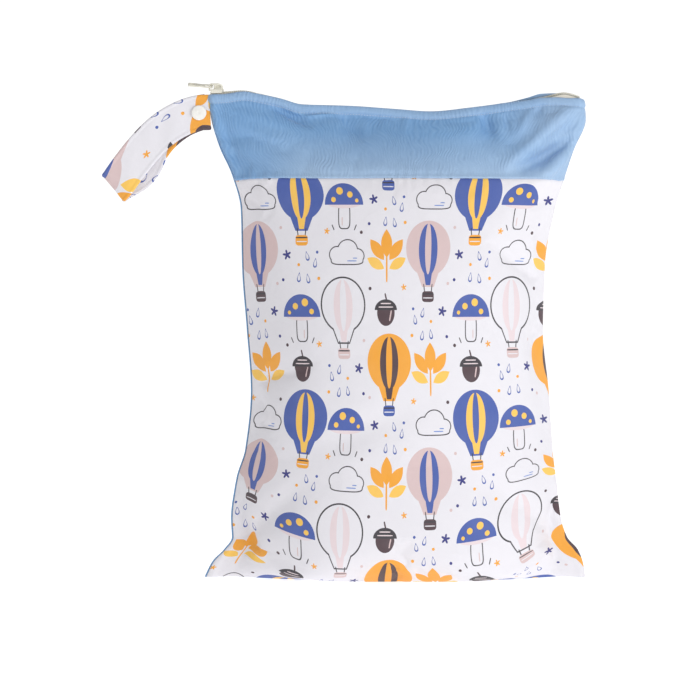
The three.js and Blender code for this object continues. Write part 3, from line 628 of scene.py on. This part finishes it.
def blue_cloth():
    """Satin knit with wavy ribs. Painted light makes it lighter on the hem, towards the band's lower edge and
    towards its right end.
    """
    made, n, shader = material("blue_cloth", 0.5, Sheen_Weight=0.5, Sheen_Roughness=0.35)
    place = cloth_place(n)
    across, up, _ = n.parts(place)
    bent = n.math("MULTIPLY_ADD", noise(n, place, 22, 2), 34 * MM, across)
    bent = n.math("MULTIPLY_ADD", noise(n, place, 130, 2), 2.4 * MM, bent)
    ribs = n.math("SINE", n.times(bent, 2 * math.pi / RIB_PITCH))
    ribs = n.times(ribs, n.map_range(noise(n, place, 26, 2), 0.35, 0.65, 0.15, 1.0))
    streaks = noise(n, n.add("ShaderNodeCombineXYZ", bent, n.times(up, 0.16), 0.0), 620, 2, 0.6)
    patches = n.map_range(noise(n, place, 14, 3), 0.3, 0.7, -0.12, 0.12)
    tone = n.math("ADD", n.map_range(streaks, 0.3, 0.7, -0.14, 0.14), patches)
    tone = n.math("MULTIPLY_ADD", ribs, 0.14, tone)
    colour = n.mix(n.math("ADD", tone, 0.5, clamp=True), srgb(92, 141, 194), srgb(140, 182, 224))
    # Painted light: the band is lighter towards its lower edge (less so at its left end), towards its right
    # end and on the hem
    low = n.map_range(up, BAND_LOW, BAND_LOW + 52 * MM, 0.44, 0.0)
    low = n.times(low, n.map_range(across, -135 * MM, -80 * MM, 0.10, 1.0))
    low = n.times(low, n.map_range(up, BAND_LOW - 60 * MM, BAND_LOW, 0.40, 1.0))
    right = n.map_range(across, 70 * MM, 125 * MM, 0.0, 0.34)
    hem = n.map_range(up, CLOTH_LONG - 9.5 * MM, CLOTH_LONG - 6.5 * MM, 0.0, 0.24)
    # The strongest of these three painted lightenings mixes the blue towards a pale blue
    painted_light = n.math("MAXIMUM", n.math("MAXIMUM", low, right), hem)
    n.feed(shader.inputs["Base Color"], n.mix(painted_light, colour, srgb(196, 212, 228)))
    height = n.math("MULTIPLY_ADD", knit_height(n, place, 0.8 * MM), 0.15, streaks)
    bump(n, shader, n.math("MULTIPLY_ADD", ribs, 0.5, height), 0.35 * MM, 0.7)
    return made


def cream_tape():
    made, n, shader = material("cream_tape", 0.85, Sheen_Weight=0.2)
    weave = n.math("SINE", n.times(n.parts(cloth_place(n))[0], 2 * math.pi / (0.8 * MM)))
    light = n.map_range(weave, -1.0, 1.0, 0.0, 1.0)
    n.feed(shader.inputs["Base Color"], n.mix(light, srgb(226, 219, 204), srgb(243, 238, 228)))
    bump(n, shader, weave, 0.15 * MM, 0.6)
    return made


def moulded(name, colour, roughness, grain):
    made, n, shader = material(name, roughness)
    place = n.tree.nodes.new("ShaderNodeTexCoord").outputs["Object"]
    tone = noise(n, place, 160, 3)
    dark = tuple(c * 0.93 for c in colour[:3]) + (1.0,)
    n.feed(shader.inputs["Base Color"], n.mix(n.map_range(tone, 0.3, 0.7, 0.0, 1.0), dark, colour))
    bump(n, shader, noise(n, place, 1500, 2), grain, 0.4)
    return made


def thread(name, colour):
    made, n, shader = material(name, 0.6, Sheen_Weight=0.3)
    place = n.tree.nodes.new("ShaderNodeTexCoord").outputs["Object"]
    tone = noise(n, place, 2500, 2)
    dark = tuple(c * 0.8 for c in colour[:3]) + (1.0,)
    n.feed(shader.inputs["Base Color"], n.mix(tone, dark, colour))
    return made


PRINTED = printed_cloth(print_group())
BLUE = blue_cloth()
TAPE = cream_tape()
NYLON = moulded("cream_nylon", srgb(228, 225, 211), 0.42, 0.02 * MM)
SNAP = moulded("snap_plastic", srgb(243, 241, 236), 0.28, 0.01 * MM)
THREAD = thread("blue_thread", srgb(178, 200, 226))

# The cloth pieces
PANEL_COLUMNS, PANEL_ROWS, BAND_ROWS, BACK_ROWS = 220, 250, 96, 290
TUCK = 2.5 * MM
HEM = 7.5 * MM
FRONT_LOW = 3.4 * MM
BACK_OUT = 1.3 * MM
form = stuffed_form()


def cloth_grid(face, up, across):
    """The middle of a panel's cloth, clear of the other panel and the floor, and its outward directions."""
    grid = resample(form[face], up * SIM_ROWS, (across + 1) / 2 * SIM_COLUMNS)
    grid[..., 1] += SIDE[face] * (GAP + CLOTH) / 2
    if face == "front":
        low = FRONT_LOW * smoothstep(across, 0.56, 0.80) * (1 - smoothstep(across, 0.90, 1.0))
        grid[..., 2] -= low[None, :] * smoothstep(up, 1 - 30 * MM / CLOTH_LONG, 1)[:, None]
    else:
        out = BACK_OUT * smoothstep(-across, 0.94, 1.0)
        grid[..., 0] -= out[None, :] * smoothstep(1 - up, 0.02, 0.12)[:, None]
    grid[..., 2] = np.maximum(grid[..., 2], CLOTH / 2)
    return grid, normals_of(grid) * -SIDE[face]


def flat_places(up, across):
    x, y = np.meshgrid(across * HALF_WIDE, up * CLOTH_LONG)
    return np.stack((x, y), axis=-1)


def gathers(distance, along, reach, deep, pitch):
    """Small gathers beside a sewn line, at a distance from it along the cloth."""
    wave = np.sin(along / pitch * 2 * math.pi + 1.7 * np.sin(along / pitch * 0.9))
    wave = wave * (0.55 + 0.45 * np.sin(along / pitch * 0.37 + 1))
    return deep * wave * np.exp(-(distance / reach) ** 2)


def hem_rise(below_mouth):
    """The rolled hem swells and its sewn line pulls in."""
    roll = np.sin(np.clip(below_mouth / HEM, 0, 1) * math.pi) ** 0.7 * 0.9 * MM
    return roll - 0.5 * MM * np.exp(-((below_mouth - HEM) / (1.1 * MM)) ** 2)


# Creases of the band: both ends in millimetres (across, up), width and rise in millimetres
CREASES = (
    ((141, 378), (88, 331), 5.5, 3.4), ((139, 345), (117, 321), 4.5, 3.0),
    ((137, 350), (101, 329), 4.0, -3.0), ((143, 366), (122, 352), 3.5, -1.8),
    ((118, 386), (112, 372), 3.0, -2.0), ((-105, 387), (-70, 370), 2.4, 3.0),
    ((-70, 370), (-42, 375), 2.4, 2.8), ((-98, 378), (-70, 363), 2.8, -2.4),
    ((-44, 373), (-30, 354), 5.0, -3.0), ((-30, 376), (4, 374), 4.0, -1.8),
    ((6, 372), (8, 360), 3.0, 1.8), ((70, 370), (76, 354), 4.0, -3.2),
    ((87, 370), (89, 358), 3.0, -2.2), ((106, 374), (98, 358), 3.5, 2.2),
    ((-141, 371), (-126, 331), 5.0, -1.6), ((-133, 340), (-96, 327), 6.0, -1.8),
    ((-60, 328), (40, 326), 6.0, 1.0),
)


def crease_rise(grid):
    """How far the creases lift the cloth at each of its points."""
    rise = np.zeros(grid.shape[:2])
    x, z = grid[..., 0], grid[..., 2]
    for start, end, wide, high in CREASES:
        first, step = np.array(start) * MM, (np.array(end) - start) * MM
        share = ((x - first[0]) * step[0] + (z - first[1]) * step[1]) / (step @ step)
        near = np.clip(share, 0, 1)
        off = np.hypot(x - first[0] - near * step[0], z - first[1] - near * step[1])
        rise += high * MM * np.exp(-(off / (wide * MM)) ** 2) * (0.45 + 0.55 * np.sin(near * math.pi))
    return rise


def side_rise(across):
    """The cloth rolls a little beside the side seams."""
    from_seam = (1 - np.abs(across)) * HALF_WIDE
    return 0.7 * MM * np.exp(-((from_seam - 3.5 * MM) / (3 * MM)) ** 2)


def make_front_panel():
    up = np.linspace(0, SEAM_AT + TUCK / CLOTH_LONG, PANEL_ROWS + 1)
    across = np.linspace(-1, 1, PANEL_COLUMNS + 1)
    grid, normal = cloth_grid("front", up, across)
    below = (SEAM_AT - up[:, None]) * CLOTH_LONG
    rise = CLOTH / 2 - 1.5 * MM * (1 - smoothstep(below, -0.6 * MM, 1.8 * MM))
    rise = rise + gathers(below, across[None, :] * HALF_WIDE, 9 * MM, 0.3 * MM, 9 * MM) + side_rise(across)
    outer = grid + normal * rise[..., None]
    inner = outer - normal * CLOTH
    piece = shell("printed_front", outer, inner, PRINTED, flat_places(up, across), "printed_cloth")
    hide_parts("front_panel")


def hemmed(grid, normal, across, below_mouth, rise):
    """Both faces of a panel that ends in a hem, with what else lifts its outer face."""
    rise = rise + CLOTH / 2 + side_rise(across) + hem_rise(below_mouth)
    rise = rise + gathers(below_mouth - HEM, across[None, :] * HALF_WIDE, 4 * MM, 0.22 * MM, 5 * MM)
    inner = grid - normal * CLOTH / 2 + normal * np.minimum(rise - CLOTH / 2, 0)[..., None]
    return grid + normal * rise[..., None], inner


def make_front_band():
    up = np.linspace(SEAM_AT, 1, BAND_ROWS + 1)
    across = np.linspace(-1, 1, PANEL_COLUMNS + 1)
    grid, normal = cloth_grid("front", up, across)
    above = (up[:, None] - SEAM_AT) * CLOTH_LONG
    below_mouth = (1 - up[:, None]) * CLOTH_LONG
    crease = crease_rise(grid) * smoothstep(above, 0, 6 * MM)
    crease = crease * smoothstep(below_mouth, HEM - 3 * MM, HEM + 4 * MM)
    grid = grid + normal * (crease * smoothstep(1 - np.abs(across), 0, 0.05))[..., None]
    seam = 0.6 * MM * np.exp(-(above / (2.2 * MM)) ** 2)
    seam = seam + gathers(above, across[None, :] * HALF_WIDE, 8 * MM, 0.3 * MM, 9 * MM)
    outer, inner = hemmed(grid, normal, across, below_mouth, seam)
    piece = shell("blue_band", outer, inner, BLUE, flat_places(up, across), "blue_cloth")
    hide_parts("front_band")
    return outer, normal, up, across


def make_back_panel():
    up = np.linspace(0, 1, BACK_ROWS + 1)
    across = np.linspace(-1, 1, PANEL_COLUMNS + 1)
    grid, normal = cloth_grid("back", up, across)
    outer, inner = hemmed(grid, normal, across, (1 - up[:, None]) * CLOTH_LONG, 0)
    flat = flat_places(up, across)[:, ::-1]
    piece = shell("blue_back", outer[:, ::-1], inner[:, ::-1], BLUE, flat, "blue_cloth")
    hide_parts("back_panel")
    return outer, normal, up, across


# Sewn lines
STITCH_PITCH = 2.2 * MM
STITCH_LONG = 1.5 * MM
STITCH_ROUND = 0.55 * MM
STITCH_STATIONS = ((-0.5, 0.0), (-0.36, 0.85), (0.0, 1.0), (0.36, 0.85), (0.5, 0.0))
STITCH_SIDES = 6


def stitches(line, normal):
    """Points and faces of a row of stitches along a line on cloth."""
    run = run_along(line)
    starts = np.arange(STITCH_PITCH, run[-1] - STITCH_PITCH, STITCH_PITCH)
    first, last = at_run(starts, run, line), at_run(starts + STITCH_LONG, run, line)
    along = unit(last - first)
    side = unit(np.cross(along, at_run(starts + STITCH_LONG / 2, run, normal)))
    up = np.cross(side, along)
    vertices, faces = [], []
    for middle, ahead, beside, out in zip((first + last) / 2, along, side, up):
        base = len(vertices)
        for place, width in STITCH_STATIONS:
            rise = STITCH_ROUND * (0.25 - 1.2 * place * place)
            centre = middle + ahead * place * STITCH_LONG + out * rise
            if width == 0:
                vertices.append(centre)
                continue
            for k in range(STITCH_SIDES):
                angle = 2 * math.pi * k / STITCH_SIDES
                spoke = beside * math.cos(angle) + out * math.sin(angle)
                vertices.append(centre + spoke * width * STITCH_ROUND / 2)
        rings = [base + 1 + STITCH_SIDES * k for k in range(3)]
        end = base + 1 + STITCH_SIDES * 3
        for k in range(STITCH_SIDES):
            nxt = (k + 1) % STITCH_SIDES
            faces.append((base, rings[0] + nxt, rings[0] + k))
            faces.append((end, rings[2] + k, rings[2] + nxt))
            for low, high in zip(rings[:-1], rings[1:]):
                faces.append((low + k, low + nxt, high + nxt, high + k))
    return vertices, faces


def panel_row(panel, depth):
    """The line on a panel at a depth below the mouth, and its outward directions."""
    outer, normal, up, across = panel
    row = np.array([(1 - depth / CLOTH_LONG - up[0]) / (up[-1] - up[0]) * (len(up) - 1)])
    columns = np.arange(len(across))
    return resample(outer, row, columns)[0], resample(normal, row, columns)[0]


def make_hem_stitches(name, panel):
    line, out = panel_row(panel, HEM)
    inside = np.abs(panel[3]) < 0.985
    new_piece(name, *stitches(line[inside], out[inside]), THREAD, "blue_cloth")


# The zip
def zip_point(across):
    """Where the coil rests on the tapes."""
    edge = bag_points("front", np.asarray(across), np.array([1.0]))[0]
    return np.stack((edge[:, 0], np.zeros(len(edge)), edge[:, 2] + zip_rise(across) * COIL_WIDE), axis=1)


TAPE_DEPTHS = (4 * MM, 8 * MM, 14 * MM)
TAPE_ROWS = 21
TAPE_HALF = 0.25 * MM


def make_tape(face, panel):
    across = panel[3]
    top = zip_point(across)
    rows = [top + np.array((0, SIDE[face] * y, z)) * MM for y, z in ((0.35, 0.10), (1.4, 0.05), (2.0, -0.5))]
    for depth in TAPE_DEPTHS:
        line, out = panel_row(panel, depth)
        line = line - out * (CLOTH + 0.9 * MM + (0.6 * MM if depth < HEM else 0.2 * MM))
        line[:, 1] = SIDE[face] * np.maximum(SIDE[face] * line[:, 1], 0.3 * MM)
        rows.append(line)
    grid = resample(np.stack(rows), np.linspace(0, len(rows) - 1, TAPE_ROWS), np.arange(len(across)))
    grid = grid[::-1, 1:-1]
    outward = normals_of(grid) * -SIDE[face]
    flat = np.stack(np.meshgrid(across[1:-1] * HALF_WIDE, np.linspace(0, 18 * MM, TAPE_ROWS)), axis=-1)
    sides = [grid + outward * TAPE_HALF, grid - outward * TAPE_HALF, flat]
    if face == "back":
        sides = [side[:, ::-1] for side in sides]
    piece = shell("zip_tape_" + face + "_woven", sides[0], sides[1], TAPE, sides[2], "cream_tape")
    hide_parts("zip_tape_" + face)


COIL_PITCH = 1.5 * MM
WIRE_AROUND, WIRE_SIDES, WIRE_HALF = 12, 5, 0.34 * MM


def make_coil():
    """Two rows of flattened wire turns that stand half a pitch apart."""
    line = zip_point(np.linspace(-0.992, 0.985, 900))
    run = run_along(line)
    count = int(run[-1] / COIL_PITCH)
    vertices, faces = [], []
    for side in (-1, 1):
        places = (np.arange(count) + (0.25 if side < 0 else 0.75)) * COIL_PITCH
        centres = at_run(places, run, line)
        ahead = unit(at_run(places + 0.2 * MM, run, line) - centres)
        rise = np.cross(ahead, (0, 1, 0))
        rise *= np.sign(rise[:, 2:3])
        for centre, forward, up in zip(centres, ahead, rise):
            base = len(vertices)
            for k in range(WIRE_AROUND):
                angle = 2 * math.pi * k / WIRE_AROUND
                out_y, out_z = math.cos(angle), math.sin(angle)
                point = centre + np.array((0, side * (0.72 * MM + 1.05 * MM * out_y), 0))
                point = point + up * (GAP + COIL_TALL / 2 + 0.68 * MM * out_z) + forward * 0.22 * MM * out_z
                outward = unit(np.array((0, side * out_y, 0)) + up * out_z)
                for j in range(WIRE_SIDES):
                    turn = 2 * math.pi * j / WIRE_SIDES
                    vertices.append(point + (outward * math.cos(turn) + forward * math.sin(turn)) * WIRE_HALF)
            for k in range(WIRE_AROUND):
                near, far = base + k * WIRE_SIDES, base + (k + 1) % WIRE_AROUND * WIRE_SIDES
                for j in range(WIRE_SIDES):
                    nxt = (j + 1) % WIRE_SIDES
                    face = (near + j, near + nxt, far + nxt, far + j)
                    faces.append(face[:1] + face[:0:-1] if side > 0 else face)
    piece = new_piece("zip_coil_turns", vertices, faces, NYLON, "cream_plastic")
    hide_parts("zip_coil")


PIVOT = Vector((-147.600, 0, 394.574)) * MM
PULL_ROLL = math.radians(25)
PULL_LIFT = math.radians(5)
SLIDER_PAST = 3.6


def flat_part(name, outlines, thick, bevel, turn=None, place=(0, 0, 0)):
    """A flat moulded part with rounded edges, from its outline and its holes' outlines in millimetres."""
    curve = bpy.data.curves.new(name, "CURVE")
    curve.dimensions = "2D"
    curve.fill_mode = "BOTH"
    curve.extrude = (thick / 2 - bevel) * MM
    curve.bevel_depth = bevel * MM
    curve.bevel_resolution = 3
    curve.offset = -bevel * MM
    for outline in outlines:
        spline = curve.splines.new("POLY")
        spline.points.add(len(outline) - 1)
        for point, (x, y) in zip(spline.points, outline):
            point.co = (x * MM, y * MM, 0, 1)
        spline.use_cyclic_u = True
    holder = linked(name, curve)
    bpy.context.view_layer.update()
    depsgraph = bpy.context.evaluated_depsgraph_get()
    mesh = bpy.data.meshes.new_from_object(holder.evaluated_get(depsgraph))
    bpy.data.objects.remove(holder)
    if turn is not None:
        mesh.transform(turn)
    mesh.transform(Matrix.Translation(Vector(place) * MM))
    return mesh


def rounded(points, radius, steps=5):
    """A closed outline through corners with each corner rounded."""
    result = []
    count = len(points)
    for i in range(count):
        before, corner, after = (Vector(points[(i + k) % count]) for k in (-1, 0, 1))
        reach = min(radius, (before - corner).length / 2, (after - corner).length / 2)
        start = corner + (before - corner).normalized() * reach
        end = corner + (after - corner).normalized() * reach
        for k in range(steps + 1):
            t = k / steps
            point = start * (1 - t) ** 2 + corner * 2 * t * (1 - t) + end * t * t
            result.append((point.x, point.y))
    return result


def rectangle(x0, y0, x1, y1, radius, steps=5):
    return rounded(((x0, y0), (x0, y1), (x1, y1), (x1, y0)), radius, steps)


def mirrored(half, radius):
    """An outline that is the same on both sides of its length."""
    return rounded(half + tuple((x, -y) for x, y in reversed(half)), radius)


def joined(name, meshes, material_used, body):
    whole = bmesh.new()
    for mesh in meshes:
        whole.from_mesh(mesh)
    bmesh.ops.remove_doubles(whole, verts=whole.verts, dist=1e-6)
    bmesh.ops.recalc_face_normals(whole, faces=whole.faces)
    result = bpy.data.meshes.new(name)
    whole.to_mesh(result)
    whole.free()
    result.transform(Matrix.Translation(PIVOT))
    result.shade_smooth()
    result.set_sharp_from_angle(angle=math.radians(40))
    return place_piece(name, result, material_used, body)


UPRIGHT = Matrix.Rotation(math.radians(90), 4, "X")


def make_slider():
    """A plate over the coil with a lip at each side, and a long bridge that the pull's bar passes under."""
    plate = mirrored(((-6.3, -3.5), (-3.6, -4.0), (2.2, -3.4), (6.3, -2.6)), 1.8)
    parts = [flat_part("plate", [plate], 1.1, 0.35, place=(SLIDER_PAST, 0, -2.75))]
    for side in (-1, 1):
        lip = rectangle(-4.6, 0, 4.5, 2.7, 0.8)
        turn = Matrix.Rotation(math.radians(side * -4), 4, "Z") @ UPRIGHT
        parts.append(flat_part("lip", [lip], 1.2, 0.35, turn, (SLIDER_PAST, side * 3.15, -5.5)))
    outer = rounded(((-2.7, -2.7), (-2.6, 1.2), (-1.4, 2.6), (5.6, 2.7), (8.6, 1.4), (9.3, -2.7)), 2.0)
    eye = rounded(((-1.5, -2.2), (-1.5, 0.9), (-0.9, 1.5), (0.9, 1.5), (1.5, 0.9), (1.5, -2.2)), 0.5)
    slit = rectangle(3.0, -0.9, 6.9, 0.7, 0.5)
    parts.append(flat_part("bridge", [outer, eye, slit], 2.0, 0.45, UPRIGHT))
    web = rectangle(2.4, -1.4, 7.4, 1.2, 0.3)
    parts.append(flat_part("web", [web], 0.3, 0.1, UPRIGHT, (0, 0.45, 0)))
    for x in (-1.9, 9.1):
        ridge = rectangle(x - 0.35, -1.6, x + 0.35, 1.6, 0.3, 3)
        parts.append(flat_part("ridge", [ridge], 0.6, 0.2, place=(0, 0, -2.1)))
    piece = joined("zip_slider_moulded", parts, NYLON, "bag")
    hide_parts("zip_slider")


def make_pull():
    """A flat tab with an eye round the bridge, a slot near its tip, a raised rim and grip ribs."""
    tab = mirrored(((0.8, 2.8), (-5.6, 2.8), (-7.4, 2.3), (-9.4, 2.3), (-13.0, 2.8), (-19.2, 2.8)), 1.2)
    eye = rectangle(-0.8, -1.7, -5.2, 1.7, 0.4)
    slot = rectangle(-14.4, -1.1, -17.6, 1.1, 0.4)
    parts = [flat_part("tab", [tab, eye, slot], 1.2, 0.3)]
    for side in (-1, 1):
        for x in (-6.8, -8.1, -9.4, -10.7, -12.0):
            rib = rectangle(x - 0.35, -1.4, x + 0.35, 1.4, 0.3, 3)
            parts.append(flat_part("rib", [rib], 0.5, 0.2, place=(0, 0, side * 0.6)))
        rim = rectangle(-13.3, -2.1, -18.7, 2.1, 0.9)
        inside = rectangle(-14.0, -1.4, -18.0, 1.4, 0.6)
        parts.append(flat_part("rim", [rim, inside], 0.5, 0.15, place=(0, 0, side * 0.6)))
    lie = Matrix.Rotation(PULL_LIFT, 4, "Y") @ Matrix.Rotation(PULL_ROLL, 4, "X")
    for part in parts:
        part.transform(lie)
    piece = joined("zip_pull_tab", parts, NYLON, "pull")
    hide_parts("zip_pull")


# The strap and its snap
strap_points = np.array([(-out * STRAP_REACH, apart * LOOP_OPEN, -down * STRAP_REACH)
                         for out, down, apart, _ in STRAP_LINE])
strap_lean = table_curve(np.linspace(0, 1, len(STRAP_LINE)), [math.radians(row[3]) for row in STRAP_LINE])
ROOT_AT = float(np.interp(1 - STRAP_ROOT / TALL, section["middle"](fine), fine))
STRAP_START = np.array((-float(section["left"](ROOT_AT)) * HALF_WIDE - GAP * 2, 0, TALL - STRAP_ROOT))


def strap_middle(places):
    """The strap's middle line, a centripetal curve through its points."""
    last = len(strap_points) - 1
    result = []
    for place in np.clip(places, 0, 1):
        i = min(int(place * last), last - 1)
        t = place * last - i
        b, c = strap_points[i], strap_points[i + 1]
        a = strap_points[i - 1] if i > 0 else 2 * b - c
        d = strap_points[i + 2] if i + 2 <= last else 2 * c - b
        before, step, after = (np.linalg.norm(q - p) ** 0.5 for p, q in ((a, b), (b, c), (c, d)))
        leave = ((b - a) / before - (c - a) / (before + step) + (c - b) / step) * step
        arrive = ((c - b) / step - (d - b) / (step + after) + (d - c) / after) * step
        square, cube = 3 * (c - b) - 2 * leave - arrive, 2 * (b - c) + leave + arrive
        result.append(b + t * leave + t * t * square + t ** 3 * cube)
    return np.array(result) + STRAP_START


def strap_frames(places):
    """The strap's middle line and the directions across it and out of it."""
    small = 1e-3
    along = unit(strap_middle(np.minimum(places + small, 1)) - strap_middle(np.maximum(places - small, 0)))
    lean = strap_lean(places)
    wide = np.stack((np.cos(lean), np.zeros_like(lean), np.sin(lean)), axis=1)
    wide = unit(wide - along * (wide * along).sum(axis=1, keepdims=True))
    return strap_middle(places), wide, np.cross(along, wide)


STRAP_EDGE = 2.4 * MM


def strap_side(side, places, shares):
    """One face of the strap, a turned tube of cloth: full edges and slight waves between."""
    middle, wide, normal = strap_frames(places)
    share, place = np.meshgrid(shares, places)
    from_edge = (0.5 - np.abs(share)) * STRAP_WIDE
    puff = 0.35 * MM * np.exp(-((from_edge - 1.0 * MM) / (0.9 * MM)) ** 2)
    groove = -0.12 * MM * np.exp(-((from_edge - STRAP_EDGE) / (1.0 * MM)) ** 2)
    waves = 0.5 * MM * np.sin(place * 46 + share * 5) * np.sin(place * 17 + 1) * (1 - (2 * share) ** 2)
    waves = waves * smoothstep(place, 0.09, 0.16) * smoothstep(1 - place, 0.09, 0.16)
    height = side * (STRAP_THICK / 2 - 0.15 * MM + puff + groove) + waves
    sideways = wide[:, None] * (share * STRAP_WIDE)[..., None]
    return middle[:, None] + sideways + normal[:, None] * height[..., None]


# Where the strap's middle line starts on the printed cloth
STRAP_PRINT = (11 * MM, 34 * MM)


def make_strap():
    places, shares = np.linspace(0, 1, 221), np.linspace(-0.5, 0.5, 49)
    front, rear = strap_side(-1, places, shares), strap_side(1, places, shares)
    x, y = np.meshgrid(shares * STRAP_WIDE, places * run_along(strap_middle(places))[-1])
    flat = np.stack((x, y), axis=-1) + STRAP_PRINT
    piece = shell("strap_loop", front, rear, PRINTED, flat, "printed_cloth", both=True)
    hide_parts("strap")


def turned(name, profile, centre, axis, material_used, slot, sides=48):
    """A turned piece from radii and heights in millimetres, along an axis."""
    across = unit(np.cross(axis, (0.2, 0.1, 1.0)))
    other = np.cross(axis, across)
    vertices, faces, rings = [], [], []
    for radius, height in profile:
        base = len(vertices)
        if radius == 0:
            vertices.append(centre + axis * height * MM)
            rings.append([base] * sides)
            continue
        for k in range(sides):
            angle = 2 * math.pi * k / sides
            spoke = across * math.cos(angle) + other * math.sin(angle)
            vertices.append(centre + (spoke * radius + axis * height) * MM)
        rings.append(list(range(base, base + sides)))
    for low, high in zip(rings[:-1], rings[1:]):
        for k in range(sides):
            nxt = (k + 1) % sides
            faces.append(tuple(dict.fromkeys((low[k], low[nxt], high[nxt], high[k]))))
    piece = new_piece(name, vertices, faces, material_used, slot)
    piece.data.set_sharp_from_angle(angle=math.radians(50))
    return piece


# The snap cap's radii and heights in millimetres, and how far its seat lies off the strap's middle line
CAP = ((0, -0.4), (4.6, -0.4), (5.6, 0.05), (5.95, 0.45), (6.0, 0.85), (5.8, 1.25), (5.3, 1.55),
       (4.9, 1.62), (4.6, 1.60), (4.4, 1.66), (3.4, 1.82), (2.0, 1.92), (1.1, 1.94), (0.9, 1.84),
       (0.5, 1.78), (0, 1.77))
CAP_SEAT = 1.3 * MM


def make_snaps():
    last = len(STRAP_LINE) - 1
    middle, _, normal = strap_frames(np.array((1 / last, 1 - 1 / last)))
    for name, node, k in (("snap_cap_front", "snap_cap", 0), ("snap_cap_behind", "snap_cap_rear", 1)):
        seat = middle[k] - normal[k] * CAP_SEAT
        piece = turned(name, CAP, seat, -normal[k], SNAP, "snap_plastic")
        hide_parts(node)


# The floor sweeps up behind the bag: half width, height of its back, radius, front and back edges in metres
FLOOR_REACH, FLOOR_RISE, FLOOR_BEND, FLOOR_FRONT, FLOOR_BACK = 12.0, 5.0, 2.0, 14.0, 6.0
FLOOR_DROP = 0.2 * MM
LIGHTS = (
    ("key", (1.8, -1.8, 0.45), 1.0, 22), ("fill", (0.2, -2.2, 1.3), 1.4, 5),
    ("rear", (0.9, 2.3, 0.8), 1.2, 16),
)


def studio():
    scene = bpy.context.scene
    scene.view_settings.view_transform = "Standard"
    world = bpy.data.worlds.new("studio")
    scene.world = world
    world.use_nodes = True
    world.node_tree.nodes["Background"].inputs[0].default_value = (1, 1, 1, 1)
    world.node_tree.nodes["Background"].inputs[1].default_value = 0.48

    profile = [(-FLOOR_FRONT, 0.0)]
    for angle in np.linspace(0, math.pi / 2, 24):
        profile.append((FLOOR_BACK + FLOOR_BEND * math.sin(angle), FLOOR_BEND * (1 - math.cos(angle))))
    profile.append((FLOOR_BACK + FLOOR_BEND, FLOOR_RISE))
    vertices = [(x, y, z - FLOOR_DROP) for y, z in profile for x in (-FLOOR_REACH, FLOOR_REACH)]
    faces = [(2 * i, 2 * i + 1, 2 * i + 3, 2 * i + 2) for i in range(len(profile) - 1)]
    mesh = bpy.data.meshes.new("floor")
    mesh.from_pydata(vertices, [], faces)
    mesh.shade_smooth()
    paper, _, shader = material("paper", 0.9)
    shader.inputs["Base Color"].default_value = (0.45, 0.45, 0.45, 1)
    shader.inputs["Emission Color"].default_value = (1, 1, 1, 1)
    shader.inputs["Emission Strength"].default_value = 0.80
    mesh.materials.append(paper)
    floor = linked("floor", mesh)

    for name, place, size, watts in LIGHTS:
        light = bpy.data.lights.new(name, "AREA")
        light.size = size
        light.energy = watts
        lamp = linked(name, light)
        lamp.location = place
        aim = Vector((0, 0, 0.2)) - Vector(place)
        lamp.rotation_euler = aim.to_track_quat("-Z", "Y").to_euler()


def camera():
    """The photograph shows 560 mm of the bag's plane, centred a little left of its middle."""
    seen_wide, centre, distance, elevation = 0.560, Vector((-0.0372, 0, 0.184)), 4.0, math.radians(1.0)
    lens = bpy.data.cameras.new("camera")
    lens.sensor_width = 36
    lens.lens = lens.sensor_width * distance / seen_wide
    eye = linked("camera", lens)
    eye.location = centre + Vector((0, -math.cos(elevation), math.sin(elevation))) * distance
    eye.rotation_euler = (centre - eye.location).to_track_quat("-Z", "Y").to_euler()
    bpy.context.scene.camera = eye


camera()
studio()
make_front_panel()
band = make_front_band()
back = make_back_panel()
make_hem_stitches("hem_stitches_front", band)
make_hem_stitches("hem_stitches_back", back)
make_tape("front", band)
make_tape("back", back)
make_coil()
make_slider()
make_pull()
make_strap()
make_snaps()
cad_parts["snap_core"].material_slots[0].material = SNAP
